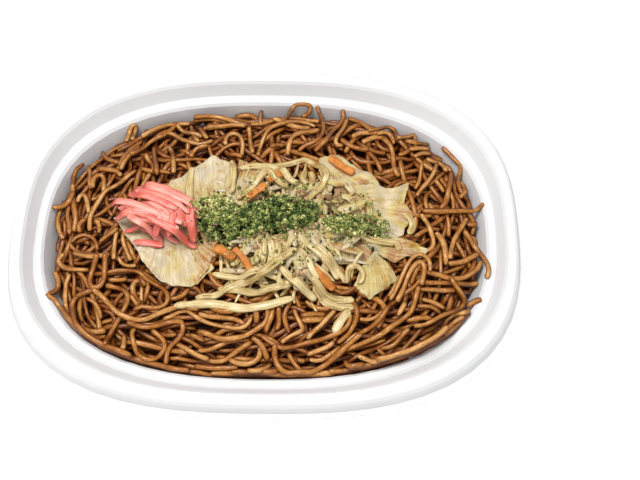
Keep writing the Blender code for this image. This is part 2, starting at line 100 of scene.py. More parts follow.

# Noodles that can be told apart, from the lowest to the highest: places along each as seen from the
# front, in millimetres on the level SEEN_LEVEL.
STRANDS = [
    # along the wall in front
    [(-84, -50), (-78, -58), (-70, -63.5), (-60, -67)],
    [(-66, -65), (-55, -68.5), (-42, -71)],
    [(-50, -69.5), (-38, -71.5), (-25, -72.3)],
    [(-32, -72), (-18, -73), (-5, -73.3)],
    [(-10, -73), (5, -73.3), (20, -73)],
    [(15, -73.2), (30, -72.5), (45, -71.5)],
    [(40, -71.8), (55, -70), (68, -66.5)],
    [(62, -68), (72, -64.5), (82, -58)],
    [(78, -61), (86, -54.5), (93, -46.5)],
    [(-88, -44), (-82, -53.5), (-73, -61)],
    [(-75, -60.5), (-62, -66), (-50, -69)],
    [(-57, -68), (-44, -70.8), (-30, -72)],
    [(-22, -72.6), (-8, -73.3), (6, -73.4)],
    [(2, -73.3), (18, -73.2), (34, -72.4)],
    [(30, -72.5), (44, -71.4), (58, -69)],
    [(52, -70), (64, -67), (75, -62.5)],
    [(70, -65), (80, -59.5), (88, -52)],
    [(84, -57), (91, -49), (96, -41)],
    # at the left, behind
    [(-93, 22), (-93, 29), (-91, 33), (-88, 35)],
    [(-87, 34), (-85.5, 30), (-85, 25), (-83.5, 20)],
    [(-81, 42), (-79, 38), (-75.5, 36.5), (-71, 35)],
    [(-82, 32), (-76, 31.5), (-72, 30.5), (-70, 27.5)],
    [(-83, 21), (-83.5, 26.5), (-81, 29), (-78.5, 27.5), (-78, 22), (-77.5, 18)],
    [(-93, 24), (-92, 17), (-90.5, 10), (-89, 4), (-89.5, -3)],
    [(-89.5, 13), (-89, 17), (-87.5, 18.3), (-86, 17), (-84.5, 12), (-83, 7)],
    [(-96, 15), (-96, 11), (-97.7, 7.5), (-97.5, 3), (-95.8, -2.5), (-93, -6.5)],
    [(-93, 12), (-93.5, 7), (-92, 2), (-91, -4)],
    [(-101.5, 11), (-98.8, 10.6), (-95.5, 11.4), (-93, 15), (-92, 20)],
    [(-66, 0), (-66, -6), (-64, -11), (-61, -17)],
    [(-69, 0), (-69.5, -5), (-69.5, -12), (-69, -17)],
    [(-84, 5), (-87, 2.8), (-87.5, 0), (-85.5, -3)],
    [(-80, 5), (-77.5, 1), (-77.8, -3.5)],
    [(-63, 32), (-66.5, 28.5), (-69.5, 25), (-73.5, 22.3), (-77, 19.5), (-79, 15.5), (-81, 10.5),
     (-82.5, 6), (-82, -2)],
    [(-89.8, -8), (-88, -4.8), (-84, -3.5), (-80, -5), (-78, -8), (-77, -12)],
    [(-68.5, 0.5), (-71.5, -2.5), (-75, -5), (-77, -8)],
    [(-90, -8), (-88.5, -11), (-83.5, -13), (-77.5, -14), (-71, -13.5)],
    # behind, left of the middle
    [(-72, 33), (-70, 39), (-66.5, 42.5), (-62, 45)],
    [(-65, 43), (-68, 39), (-70, 35), (-71, 31)],
    [(-70, 47), (-68.7, 53), (-68.3, 56), (-66.7, 57.6), (-65.5, 56), (-66.5, 52), (-67, 48)],
    [(-62, 33), (-57, 31), (-52, 31), (-46, 30)],
    [(-60, 41), (-58, 37), (-55.5, 34), (-54, 30)],
    [(-56, 45), (-55.5, 40), (-54, 34), (-53, 28)],
    [(-49, 45), (-46.5, 41), (-45.7, 35), (-45.2, 29)],
    [(-63, 50), (-57, 54.5), (-50, 57.4), (-44, 58), (-38.5, 58)],
    [(-39, 57.5), (-38, 54), (-36.5, 50), (-34, 47)],
    [(-67.5, 40), (-62, 42.8), (-59, 46.5), (-56, 49), (-51.5, 51.3), (-48.5, 54.5), (-46.5, 57),
     (-46.7, 60)],
    [(-46, 58.2), (-43.6, 54.3), (-41.5, 53.2), (-36.5, 52.2), (-32, 50.3)],
    [(-51, 52.5), (-47, 52), (-43.5, 49.2), (-38.5, 47.5), (-34, 46.3), (-30, 47.2), (-27, 49)],
    [(-38, 38.5), (-36, 43.5), (-32.5, 45.3), (-29, 46)],
    [(-38.5, 60), (-36.5, 60.3), (-31, 61), (-25, 60.3), (-20, 58.5)],
    [(-38.5, 62), (-33, 62.6), (-27.5, 62.4), (-23, 61.5), (-19.5, 60.5), (-15.5, 58.3),
     (-10, 57.3)],
    [(-35, 56.5), (-32, 52), (-30, 48.5)],
    [(-31.7, 55.3), (-27.5, 56.5), (-22.3, 57), (-17, 57.7), (-11, 57)],
    [(-21, 45.5), (-21.5, 49), (-20.3, 52), (-17.4, 53.2), (-14.5, 51.5), (-13, 47.8),
     (-12.8, 43.3), (-13.4, 39)],
    [(-20, 41), (-16, 40.5), (-12, 39.5)],
    [(-10.3, 57), (-9.6, 51.3), (-9, 46), (-7.5, 41)],
    # behind
    [(-4.5, 58), (-5, 63), (-4, 67.2)],
    [(-10, 58), (-4, 58.5), (0, 60), (5, 61), (10, 62), (18, 61), (25, 60)],
    [(1, 62), (6, 60), (11, 57.5), (16, 56.3), (21, 56.5)],
    [(0, 45.5), (4, 46.5), (9, 46)],
    [(-5.2, 39.5), (-4, 46), (-2, 52), (0.5, 56.5), (5, 58.5), (12, 60), (19, 59), (23, 57)],
    [(9, 40), (9.8, 46.4), (11.3, 51.4), (15, 53.4), (20, 54.2), (25, 55.5)],
    [(6, 59.5), (9.2, 63.8), (11.2, 68.6), (14.6, 71.3), (18, 71.6), (20, 69.8), (20, 66.8),
     (18, 64), (15, 62.5)],
    [(22, 43), (25, 46.5), (28, 49.5), (30, 53.5), (33, 57), (36, 61), (36, 67.8)],
    [(23, 70), (24.6, 64.5), (26.2, 60), (26.6, 54.8), (25, 50.8), (21, 47.6), (16, 45.2),
     (14, 42)],
    [(38, 62.5), (43.5, 60.8), (47, 58.3), (50, 55)],
    [(38.2, 62.5), (36.6, 57), (33.6, 52.5), (32.2, 48.5), (33.5, 46.2), (37, 46.8)],
    [(34.7, 50.5), (37.6, 47.4), (42, 45.2), (47, 44.2), (49, 44.8)],
    [(40, 51), (44.5, 53.8), (49.5, 54), (56, 54)],
    [(45, 48), (50.3, 51), (54, 51.6), (58, 49.5), (60, 45)],
    # behind, at the right
    [(48, 55), (54.5, 56.5), (57.3, 57.8), (60.6, 57), (62.5, 53.5), (62.5, 49)],
    [(52, 53), (57, 54.5), (60, 52), (61, 47)],
    [(62, 51), (66, 51.5), (69, 51.8), (71, 54), (71.5, 50.5), (71.5, 46)],
    [(66, 49.5), (72, 48.3), (79, 47.5)],
    [(67, 44), (72, 45.2), (79, 45)],
    [(70, 40), (75, 42.7), (80, 42)],
    [(76, 40), (79, 38), (84, 36.5), (86, 32)],
    [(69, 45), (66, 42.5), (62.5, 41)],
    [(55, 51), (58, 48.6), (60, 44.5), (60.4, 39.8), (61, 33), (63.5, 28.5)],
    [(79.8, 28), (82.5, 24.3), (84.5, 20)],
    [(84, 46.3), (87, 43), (90, 39), (92.7, 35.7), (92.6, 32.3), (91, 27.8), (92, 22), (95, 17)],
    [(95.7, 22.8), (93.5, 20.5), (91, 17)],
    [(88.5, 33), (87.3, 26.7), (86, 20.7), (84.5, 15), (81.3, 11)],
    [(74.2, 37.5), (73.5, 32), (72.5, 26.5), (70, 22)],
    [(82, 38), (81, 35.5), (79.4, 31), (76.3, 26), (72.8, 22), (70.5, 18)],
    # at the right
    [(85, 9), (85.6, 3), (85, -3)],
    [(99.5, 4.8), (96, 3.7), (93, 4)],
    [(73, 11), (80, 10.4), (86.5, 10.9), (92.5, 11), (97.8, 11), (100.6, 12.8), (102.8, 15.6)],
    [(69, -3.3), (73.3, -0.2), (77, 1.5), (82, 1)],
    [(72.3, 9.5), (75.5, 4.7), (77.2, -0.3), (78.3, -6), (76.5, -9.5), (73, -10.5)],
    [(79, 0), (82.5, -5.2), (83.3, -10.3), (83.5, -18)],
    [(94.6, 8), (90.7, 1), (87.7, -4.2), (86, -9.4), (85, -15)],
    [(92.4, 1), (95.3, -4.2), (98, -9), (100, -12), (102.3, -16), (102.8, -20), (101.2, -24)],
    [(84, -16.5), (88, -16), (92, -15), (96, -12.5), (99, -11)],
    [(72, -25.7), (78, -26), (85, -26), (91, -26.5), (98, -26)],
    [(70, -29), (75.5, -29.4), (82, -29.7), (88, -29.5)],
    [(73.5, -20.5), (79.5, -22), (85, -23.7), (90.3, -23.6), (95, -21), (98, -18.4), (99.8, -14)],
    [(86, -24), (88, -29.5), (90.5, -34), (91, -38)],
    [(99, -33.5), (94.7, -36), (92.3, -39)],
    # at the right, in front
    [(38, -70), (45, -70.5), (52, -69.5), (58, -67.5)],
    [(42, -61), (47, -63), (51, -66.3), (55, -69)],
    [(37, -62.8), (38, -66), (41.5, -68), (47, -68)],
    [(62, -22), (59, -29.5), (56, -34)],
    [(71, -34), (75.5, -35), (79, -37), (83, -39)],
    [(69, -37.5), (75, -37.5), (78.5, -39.3), (80.5, -42)],
    [(64, -45), (68, -43.5), (73, -43), (77, -43.5)],
    [(66, -48), (63.6, -50), (61, -53.3), (58, -56.5), (52, -58)],
    [(94, -45), (88, -44.8), (84.8, -47), (83, -52)],
    [(77.8, -47.8), (76.9, -52.5), (73.6, -56.7), (69.5, -60), (65, -63), (60, -64)],
    [(97, -42.5), (91, -41.4), (86, -41.6), (82.7, -43.5), (81, -47), (78.5, -52), (75, -55.5),
     (70.5, -58)],
    [(85, -22.5), (87, -27), (90.3, -32), (91, -36), (88.5, -38.3), (85, -40.2), (80.5, -41.8),
     (77, -44), (72.5, -46.4), (67, -47)],
    [(51, -57.5), (55, -61.3), (59, -62.8), (64, -62)],
    [(83.5, -47), (81.2, -52), (78, -57.6), (74, -61.4), (69.4, -63.8), (65, -65.2), (60.5, -66.2),
     (55.4, -65.8), (50.5, -62.8), (47.5, -59.5)],
    [(64.5, -35), (62.5, -39), (60, -43)],
    [(43, -44), (47.8, -44.2), (52, -42.5), (55, -39)],
    [(43, -29.5), (45, -32.3), (50, -33.7), (53.7, -36.2), (55, -39.6), (53.5, -44.4), (51, -49)],
    [(72, -21), (71.3, -24.5), (68.7, -27.8), (64.2, -31.2), (59.6, -35), (56, -38.6), (53, -43.5),
     (49, -47.5), (44, -50.5), (39, -55)],
    [(71, -27), (69.5, -31), (68.3, -36), (66.5, -40.5), (62, -44.4), (57.3, -47.7), (52.5, -51.5),
     (47.7, -54), (41.5, -56.8), (36, -59)],
    # in front
    [(-29, -66.5), (-22, -67.5), (-15, -67.3), (-9, -67)],
    [(-13, -71), (-8, -72), (-2, -71.5), (4.5, -69.5), (9, -67.5)],
    [(-6, -68.8), (-1, -68.7), (3, -67), (5.5, -64.5)],
    [(17, -42.5), (23, -42), (29, -42)],
    [(17, -44.8), (24, -44.5), (30, -44)],
    [(19, -35), (22, -38), (27, -39.5), (31, -38.5)],
    [(-29, -42), (-24.3, -43.4), (-18.5, -44), (-12, -44.5), (-8.4, -46.5), (-6, -49)],
    [(-24, -38.5), (-21, -40.3), (-16.8, -41), (-11.5, -41)],
    [(-3.3, -39), (-2.3, -43), (-2.6, -47.5)],
    [(-28, -59.5), (-24.4, -59.6), (-19.2, -57.8), (-15.6, -55.5), (-10.5, -54.6), (-4, -54.5)],
    [(-30, -60.5), (-24.3, -63.5), (-20, -64.5), (-15.5, -64), (-12, -61), (-8.6, -58.2),
     (-3, -54.5)],
    [(-14, -63.3), (-10, -65.2), (-4.8, -65.5), (-1.4, -63.7), (0, -60.8), (-0.5, -56.5)],
    [(-44.5, -45), (-41, -44), (-37.5, -41.6), (-33.8, -40.7), (-30, -43.5), (-25.3, -46),
     (-21, -47.4), (-15, -48.5), (-10, -49), (-6.5, -47.5), (-4.5, -43)],
    [(-4.5, -53), (-0.5, -55.7), (2, -60), (3.4, -64)],
    [(-29, -50.5), (-24.4, -51.5), (-20.7, -53), (-16.6, -54.2), (-11.7, -53.6), (-7.2, -52.6),
     (-2.8, -49.7), (0, -47.8), (2.4, -45), (2.6, -41), (1.5, -37)],
    [(5, -36), (4.4, -43), (2.7, -47.3), (1.7, -51)],
    [(7, -36.5), (7.5, -43), (7.7, -47.5), (6, -50)],
    [(13.5, -34), (10.6, -40), (9.9, -44.2), (11.5, -48.4), (12.5, -52)],
    [(20, -61.3), (24, -59.3), (28, -58), (33, -54.5)],
    [(12, -59.5), (13.4, -63), (16, -66.2), (18.5, -69)],
    [(21, -63), (26.5, -63.4), (30.6, -60.5), (35, -57.2), (39.8, -53), (43.5, -50)],
    [(33, -39.5), (28.6, -44.5), (25.5, -48), (22, -51.3), (20, -54)],
    [(14, -39), (16, -44.2), (18, -47.8), (18.8, -49.5), (15.3, -51), (11.6, -53.3), (8.5, -56)],
    [(40.5, -35), (42.3, -39.3), (42.3, -43.2), (40.6, -47.4), (38.2, -51.6), (33, -56)],
    [(-0.5, -52), (4.6, -55.7), (8.5, -58), (11, -58), (15.2, -57), (19.6, -55.6), (26.2, -54),
     (32.8, -51.3), (36.3, -49.3), (38.8, -46), (39.7, -41)],
    [(6.3, -56), (6.2, -61.6), (7.8, -66.2), (11, -69.4), (15.8, -70.8), (20.7, -69.8),
     (25.5, -67.4), (30, -64.2), (35, -59.6), (40, -54.8), (44.5, -50.5)],
    # at the left, in front
    [(-92, -13), (-95, -17), (-91, -20.5), (-85, -21.3), (-79, -21.3)],
    [(-89, -12.5), (-85, -13.7), (-80, -14.5), (-71, -13.5)],
    [(-88, -23), (-89.5, -28), (-89, -34), (-88.5, -38.5), (-86.5, -43), (-84, -47)],
    [(-96, -22), (-93, -27), (-93.5, -32), (-97.5, -34), (-97.8, -37), (-94, -39), (-90, -42),
     (-87, -47), (-83.5, -52), (-81, -57)],
    [(-80, -50), (-74, -51.5), (-68.5, -50.5)],
    [(-78, -53.5), (-73, -54.5), (-68, -53)],
    [(-80, -35), (-76, -37), (-73, -41), (-71.5, -46)],
    [(-67, -14), (-66, -17.5), (-62.5, -19.3), (-58, -19)],
    [(-71, -26), (-66, -26.3), (-61.5, -25.5)],
    [(-55, -29), (-54.8, -33), (-54.5, -37)],
    [(-60, -33), (-57.5, -36.5), (-55.5, -39)],
    [(-66, -53), (-64.5, -60), (-61, -63.5)],
    [(-60.5, -52), (-60.5, -60)],
    [(-48.5, -52), (-43, -52.5), (-37, -52.5)],
    [(-32, -52), (-28, -53.5), (-24, -55.5)],
    [(-38, -56), (-32, -59.3), (-27, -62), (-22, -63.5)],
    [(-75.5, -31), (-80, -32.5), (-84.5, -35), (-85.7, -39), (-84.2, -43.5), (-82.5, -49),
     (-80, -54.4), (-77, -57.7), (-72, -59.4), (-66, -61.4), (-60, -63.8), (-56, -63)],
    [(-72, -29), (-66, -30), (-62, -32), (-60.5, -36), (-62.3, -41.5), (-65, -48), (-67.5, -54),
     (-70, -60)],
    [(-77, -13), (-78, -20), (-79, -26), (-78, -29.5), (-76, -30.5), (-73.5, -29), (-72.5, -25),
     (-73, -18), (-73.5, -12)],
    [(-72, -23), (-68, -21.5), (-61.5, -21.4), (-56.5, -22.3), (-53.5, -25.7), (-49, -28),
     (-44.5, -31), (-42.5, -34.5), (-43.7, -38.5), (-49, -39.8), (-54.5, -39), (-58.5, -41.5)],
    [(-77.5, -30.8), (-73, -34), (-69, -38), (-65, -42), (-61, -44), (-56.5, -45.6), (-52, -45.3),
     (-47.5, -43), (-43, -41), (-38, -38.9), (-33, -39.3), (-28, -40)],
    [(-55, -48.8), (-57.7, -51), (-56.7, -54), (-55.7, -57.5), (-54, -61.5), (-50.5, -63.8),
     (-46, -63.8), (-43, -60.6), (-42, -56.7), (-44.5, -53.3), (-49, -50)],
    [(-60.5, -46.3), (-54.5, -48.6), (-49.5, -48.8), (-44, -47.3), (-39, -46), (-35.3, -46.3),
     (-34.7, -50), (-36, -54), (-39.5, -57.2), (-41, -61), (-41, -67)],
]

# Noodles that arch over the cabbage.
ARCHES = [
    [(60, -36), (63.5, -29), (66, -22), (69.5, -16.5), (72, -15), (73.5, -18), (72.5, -24),
     (71, -28)],
    [(57, -35), (60, -30), (63, -23), (66, -16.5), (69, -12.5), (72, -11.5), (75, -13.5),
     (76.3, -17), (75.5, -21.5)],
]

# How high the toppings stand, apart from the ginger.
TOPPING_CEILING = 44 * MM

# What lies on the noodles, in millimetres seen from above. Bean sprouts: radius, then places along them.
SPROUTS = [
    (1.6, [(-23, -24), (-10, -26), (0, -25)]),
    (1.6, [(-20, -31), (-5, -33), (12, -32)]),
    (1.9, [(-39, -40), (-23, -38), (-10, -40.5), (1, -40), (14, -36)]),
    (1.6, [(-3, -9), (-2, -15), (-3, -21)]),
    (1.5, [(0, -9), (0.5, -15), (0, -22)]),
    (1.6, [(3, -10), (4, -16), (3, -23)]),
    (1.5, [(5.5, -10), (7, -15), (5, -20)]),
    (1.7, [(-30, -35), (-20, -33), (-9, -29), (0, -26), (8, -19), (15, -14)]),
    (1.5, [(20, -18), (22, -24), (25, -29)]),
    (1.6, [(19, -11), (27, -18), (34, -26)]),
    (1.6, [(24, -12), (31, -19), (38, -27)]),
    (2.0, [(8, -22), (14, -29), (24, -36)]),
    (1.6, [(23, -31), (30, -38), (41, -39.5)]),
    (2.0, [(22, -28), (29, -34), (41, -35.5)]),
    (1.2, [(38, -28), (38.5, -22.5), (42, -20.5), (45, -22.5), (45, -26), (43, -28)]),
    (1.6, [(-13, 29), (0, 31), (6, 29), (11, 22), (15, 20)]),
    (1.6, [(-13, 11), (-6, 18), (0, 26), (5, 21), (10, 18)]),
    (1.6, [(0, 32), (14, 36), (18, 38), (23, 35), (28, 27), (27, 21), (24, 16), (18, 10)]),
    (1.5, [(18, 30), (17, 25), (19, 20)]),
    (1.5, [(20.5, 30), (21.5, 25), (20.5, 20)]),
    (1.6, [(44, -6), (50, -8), (60, -7), (62, -11)]),
    (1.7, [(32, -51), (35, -46), (39, -41)]),
    (1.6, [(-36, 31), (-36.5, 20), (-35, 9)]),
    (1.5, [(-17, 34), (-15.5, 25), (-16, 14)]),
    (1.3, [(-12, 4), (-9.5, 6), (-10.5, 8.5), (-13, 8), (-13.5, 5.5), (-12, 4)]),
    (1.5, [(64, 8), (67.5, 6), (68.5, 2), (66.5, -2)]),
]

# Cabbage: corners, the place that the veins fan out from, how high the leaf ripples, how yellow it is,
# and its stained spots, each with its reach.
LEAVES = {
    "cabbage_middle_back": (
        [(-14, 12), (-4, 11), (2, 19), (3, 29), (-5, 34), (-14, 35)],
        (-14, 8), 1.2, 0.5, [(-10, 30, 6)],
    ),
    "cabbage_middle_right": (
        [(24, -1), (29, -13), (34, -19), (47, -18), (50, -11), (46, -3), (33, 2)],
        (22, 0), 1.2, 0.5, [(46, -12, 8)],
    ),
    "cabbage_back_left": (
        [(-53, 19), (-46, 10), (-33, 8), (-19, 14), (-14, 16), (-15, 30), (-18, 35), (-27, 38.5),
         (-36, 31), (-41, 26)],
        (-24, -14), 1.2, 0.12, [(-36, 12, 14), (-17, 16, 9)],
    ),
    "cabbage_front_left": (
        [
            (-71, 5), (-66, -3), (-60, -10), (-56, -17), (-51, -24), (-43, -29.5), (-35, -31.5), (-29, -29),
            (-27, -25), (-22, -21), (-26, -17), (-24, -12), (-30, -8), (-31, 4), (-50, 6),
        ],
        (-44, 12), 1.4, 0.25, [(-25, -16, 8), (-28, -28, 7), (-30, -6, 7)],
    ),
    "cabbage_back_right": (
        [(24, 38), (25, 25), (34, 20), (46, 21), (54, 23), (50, 29), (42, 35), (34, 41)],
        (18, 44), 1.2, 0.45, [(30, 24, 7), (44, 22, 6)],
    ),
    "cabbage_right": (
        [(32, 20), (30, 8), (40, 0), (52, -3), (63, -4), (66, 2), (69, 9), (65, 15), (68, 26),
         (61, 21.5), (48, 23)],
        (26, 14), 1.6, 0.4, [(38, 14, 9), (64, 8, 7), (46, 2, 9)],
    ),
    "cabbage_right_front": (
        [(44, -7), (50, -13), (60, -17), (66, -14), (72, -14), (76, -10), (71, -7), (60, -4)],
        (38, -10), 1.0, 0.5, [(62, -12, 8)],
    ),
    "cabbage_front_right": (
        [(50, -13), (44, -21), (41, -29), (48, -35), (54, -31), (61, -25), (57, -18)],
        (48, -4), 0.9, 0.75, [],
    ),
    "cabbage_torn": (
        [(-31, 0), (-25, -2), (-20, -6), (-22, -10), (-20, -14), (-24, -17), (-25, -22), (-29, -26),
         (-31, -16), (-28, -9)],
        (-42, 0), 1.0, 0.7, [(-26, -8, 8), (-25, -18, 7)],
    ),
}

LEAF_AROUND, LEAF_RINGS = 120, 22  # points round a leaf, and rings of them
LEAF_BALL = 4 * MM  # how stiff a leaf is: the ball that finds what it lies on
LEAF_BODY = 0.9 * MM
VEIN_RISE, VEIN_REACH = 0.4 * MM, 2.2 * MM

# Carrot strips: places along them, and half their width.
CARROTS = {
    "carrot_1": ([(-8, 11), (-4, 15), (0, 18)], 2.0),
    "carrot_2": ([(1, 20), (5, 24), (9, 27)], 2.1),
    "carrot_3": ([(30, 37), (35, 33), (41, 29)], 2.2),
    "carrot_4": ([(-22, -13), (-18, -15), (-13, -19)], 1.9),
    "carrot_5": ([(-13, -15), (-9, -19), (-5, -25)], 1.8),
    "carrot_6": ([(23, -23), (27, -27), (32, -31)], 1.9),
}

# Sprouts under the others, and shreds of cabbage among them.
BED_SPROUTS, BED_SHARE = 130, 0.84
BED = dict(
    length=(12 * MM, 32 * MM), heading=0, spread=1.5, bend=1.2, radius=(0.6 * MM, 1.3 * MM), sweeps=6
)
SHRED = dict(
    length=(7 * MM, 18 * MM), heading=0, spread=1.5, bend=0.7, radius=(0.6 * MM, 1.9 * MM), sweeps=8
)

# Shreds of cabbage: the middle and size of each patch, and how many.
SHREDS = [((0, 8), (64, 30), 60), ((12, -18), (60, 26), 50), ((30, 6), (40, 34), 40)]

# Ginger under the strips on top: the share of the pile, how many, and how long they are.
GINGER_LAYERS = [(0.7, 26, (10 * MM, 22 * MM)), (0.5, 8, (16 * MM, 30 * MM))]
GINGER_BED = dict(
    heading=math.radians(-22), spread=0.38, bend=0.5, radius=(1.2 * MM, 2.2 * MM), sweeps=20
)

# Ginger strips on top of the others: half their width, then places along them.
GINGER_STRIPS = [
    (1.5, [(-62, -0.2), (-56, -3), (-49.3, -6.7), (-47, -11.5)]),
    (1.3, [(-60, -9), (-53, -9.5), (-46, -11)]),
    (1.5, [(-53, -1), (-42, -6.5), (-31, -11)]),
    (1.3, [(-46, 3), (-47.5, -3), (-50, -8)]),
    (1.4, [(-40.8, 1.6), (-41.5, -4), (-43, -9.5)]),
    (1.5, [(-34, 5.5), (-33.5, -2), (-31.9, -9.5)]),
    (1.0, [(-57, 8), (-50, 5), (-42, -1)]),
    (1.0, [(-60, 2), (-53, 2), (-45, -2), (-38, -7)]),
    (1.4, [(-71, 7), (-65, 6.4), (-58.6, 5), (-46, 0), (-36, -4.5)]),
    (1.5, [(-63, 12.3), (-51, 8.5), (-39.6, 2.7)]),
    (1.9, [(-64, 16), (-50, 14), (-38, 9), (-29.5, 4)]),
    (1.0, [(-60, 13), (-50, 10.5), (-40, 6), (-34, 1)]),
]

# Bits of mince and crumbs: the middle and size of each patch, how many, and how thick they are.
MINCE = [
    ((15, 13), (10, 8), 8, (0.7, 1.5)),
    ((31, 13), (8, 7), 6, (0.7, 1.5)),
    ((17, -26), (9, 5), 5, (0.7, 1.5)),
    ((0, 0), (50, 30), 10, (0.6, 1.2)),
    ((8, 3), (88, 60), 170, (0.25, 0.55)),
]

# Seaweed: the middle and size of each patch, how many flakes, and how yellow they are.
SEAWEED = [
    ((-14, -1), (31, 15), 2500, 0.36),
    ((7, 4), (36, 15), 3000, 0.27),
    ((-24, 7), (18, 12), 800, 0.62),
    ((42, -1), (31, 12), 1100, 0.5),
    ((10, 0), (96, 46), 500, 0.4),
]
FLAKE_CORNERS = 5
FLAKE_RADIUS = (0.4, 1.25)
FLAKE_DOME = 0.09 * MM
CLUMP = 2.6 * MM

# Lights: name, place, size and power. The sky and the floor's own light soften their shade.
LIGHTS = [("key", (-0.22, 0.16, 1.00), 0.42, 8.4), ("fill", (0.15, -0.60, 0.80), 0.9, 2.0)]
LIT_POINT = Vector((0, 0, 0.03))
SKY = 0.54
FLOOR_GLOW = 0.36
FLOOR_REACH = 4.0


# ---------------------------------------------------------------- relief


class Relief:
    """Heights of the heap's top on a square grid. Pieces rest on it and then become part of it."""

    def __init__(self, low, high):
        self.low = np.array(low)
        self.count = np.ceil((np.array(high) - self.low) / CELL).astype(int) + 1
        self.z = np.zeros(self.count)
        self.discs = {}

    def disc(self, radius):
        """The cells under a ball, and how high the ball's skin is over each, from its centre."""
        key = round(radius / MM, 2)
        if key not in self.discs:
            reach = int(radius / CELL) + 1
            steps = np.arange(-reach, reach + 1)
            cells = np.array([(i, j) for i in steps for j in steps])
            away = np.hypot(cells[:, 0], cells[:, 1]) * CELL
            inside = away < radius
            self.discs[key] = (cells[inside], np.sqrt(radius**2 - away[inside] ** 2))
        return self.discs[key]

    def cells(self, xy, reach=0):
        """Grid indices of the points, kept clear of the grid's border by reach cells."""
        found = np.rint((np.asarray(xy) - self.low) / CELL).astype(int)
        return np.clip(found, reach, self.count - 1 - reach)

    def height(self, xy):
        """The relief's height at points."""
        at = self.cells(xy)
        return self.z[at[..., 0], at[..., 1]]

    def rest(self, xy, radius):
        """The height of the centre of a ball that rests on the relief, at each point."""
        offsets, caps = self.disc(radius)
        at = self.cells(xy, int(radius / CELL) + 2)[:, None] + offsets
        return (self.z[at[..., 0], at[..., 1]] + caps).max(axis=1)

    def stamp(self, xy, z, radius):
        """Adds a round strand through the points, at these centre heights, to the relief."""
        offsets, caps = self.disc(radius)
        at = self.cells(xy, int(radius / CELL) + 2)[:, None] + offsets
        np.maximum.at(self.z, (at[..., 0], at[..., 1]), np.asarray(z)[:, None] + caps)


def tops(found, relief):
    """The top of an object on the relief's grid: each of its upward faces, filled in."""
    data = found.data
    data.calc_loop_triangles()
    corners = np.array([v.co for v in data.vertices])[:, :3]
    triangles = corners[np.array([t.vertices[:] for t in data.loop_triangles])]
    top = np.zeros(relief.count)
    flat = (triangles[..., :2] - relief.low) / CELL
    first = np.maximum(np.ceil(flat.min(axis=1)), 0).astype(int)
    last = np.minimum(np.floor(flat.max(axis=1)), relief.count - 1).astype(int)
    a, b, c = flat[:, 0], flat[:, 1], flat[:, 2]
    area = (b[:, 0] - a[:, 0]) * (c[:, 1] - a[:, 1]) - (b[:, 1] - a[:, 1]) * (c[:, 0] - a[:, 0])
    for k in np.nonzero((area > 1e-6) & (first <= last).all(axis=1))[0]:
        x, y = np.mgrid[first[k, 0] : last[k, 0] + 1, first[k, 1] : last[k, 1] + 1]
        u = ((x - a[k, 0]) * (c[k, 1] - a[k, 1]) - (y - a[k, 1]) * (c[k, 0] - a[k, 0])) / area[k]
        v = ((b[k, 0] - a[k, 0]) * (y - a[k, 1]) - (b[k, 1] - a[k, 1]) * (x - a[k, 0])) / area[k]
        inside = (u >= -1e-6) & (v >= -1e-6) & (u + v <= 1 + 1e-6)
        z = triangles[k, :, 2]
        height = z[0] + u * (z[1] - z[0]) + v * (z[2] - z[0])
        x, y = x[inside], y[inside]
        top[x, y] = np.maximum(top[x, y], height[inside])
    return top


# ---------------------------------------------------------------- curves and meshes


def spline(points, step=STEP):
    """Points evenly spaced along a smooth curve through some points (Catmull-Rom)."""
    p = np.array(points, float)
    p = np.vstack([2 * p[0] - p[1], p, 2 * p[-1] - p[-2]])
    found = []
    t = np.linspace(0, 1, 12, endpoint=False)[:, None]
    for a, b, c, d in zip(p, p[1:], p[2:], p[3:]):
        slope, square, cube = c - a, 2 * a - 5 * b + 4 * c - d, 3 * b - a - 3 * c + d
        found.append(0.5 * (2 * b + slope * t + square * t**2 + cube * t**3))
    return evenly(np.vstack(found + [p[-2:-1]]), step)


def evenly(points, step):
    """The same curve with evenly spaced points."""
    away = np.concatenate([[0], np.cumsum(np.linalg.norm(np.diff(points, axis=0), axis=1))])
    count = max(4, int(round(away[-1] / step)) + 1)
    at = np.linspace(0, away[-1], count)
    return np.stack([np.interp(at, away, points[:, k]) for k in range(points.shape[1])], axis=1)


def seen_at(places, z):
    """Places on the level SEEN_LEVEL, moved along the line of sight to other heights."""
    eye = np.array(VIEW_CENTRE + towards_eye() * VIEW_DISTANCE)
    share = (SEEN_LEVEL - z) / (eye[2] - SEEN_LEVEL)
    return places + (places - eye[:2]) * share[:, None]


def towards_eye():
    """The direction from the scene to the camera."""
    level = math.cos(VIEW_ELEVATION)
    across, ahead = -math.sin(VIEW_AZIMUTH) * level, -math.cos(VIEW_AZIMUTH) * level
    return Vector((across, ahead, math.sin(VIEW_ELEVATION)))


def soften(values, sweeps):
    """Values along a strand, smoothed by repeated averaging with their neighbours."""
    values = np.array(values, float)
    for _ in range(sweeps):
        padded = np.concatenate([values[:1], values, values[-1:]])
        values = 0.25 * padded[:-2] + 0.5 * padded[1:-1] + 0.25 * padded[2:]
    return values


def drape(support, sweeps):
    """The heights of a strand that lies on a support: it bridges what it is too stiff to follow."""
    z = support.copy()
    for _ in range(sweeps):
        z = np.maximum(support, soften(z, 1))
    return soften(z, 3)


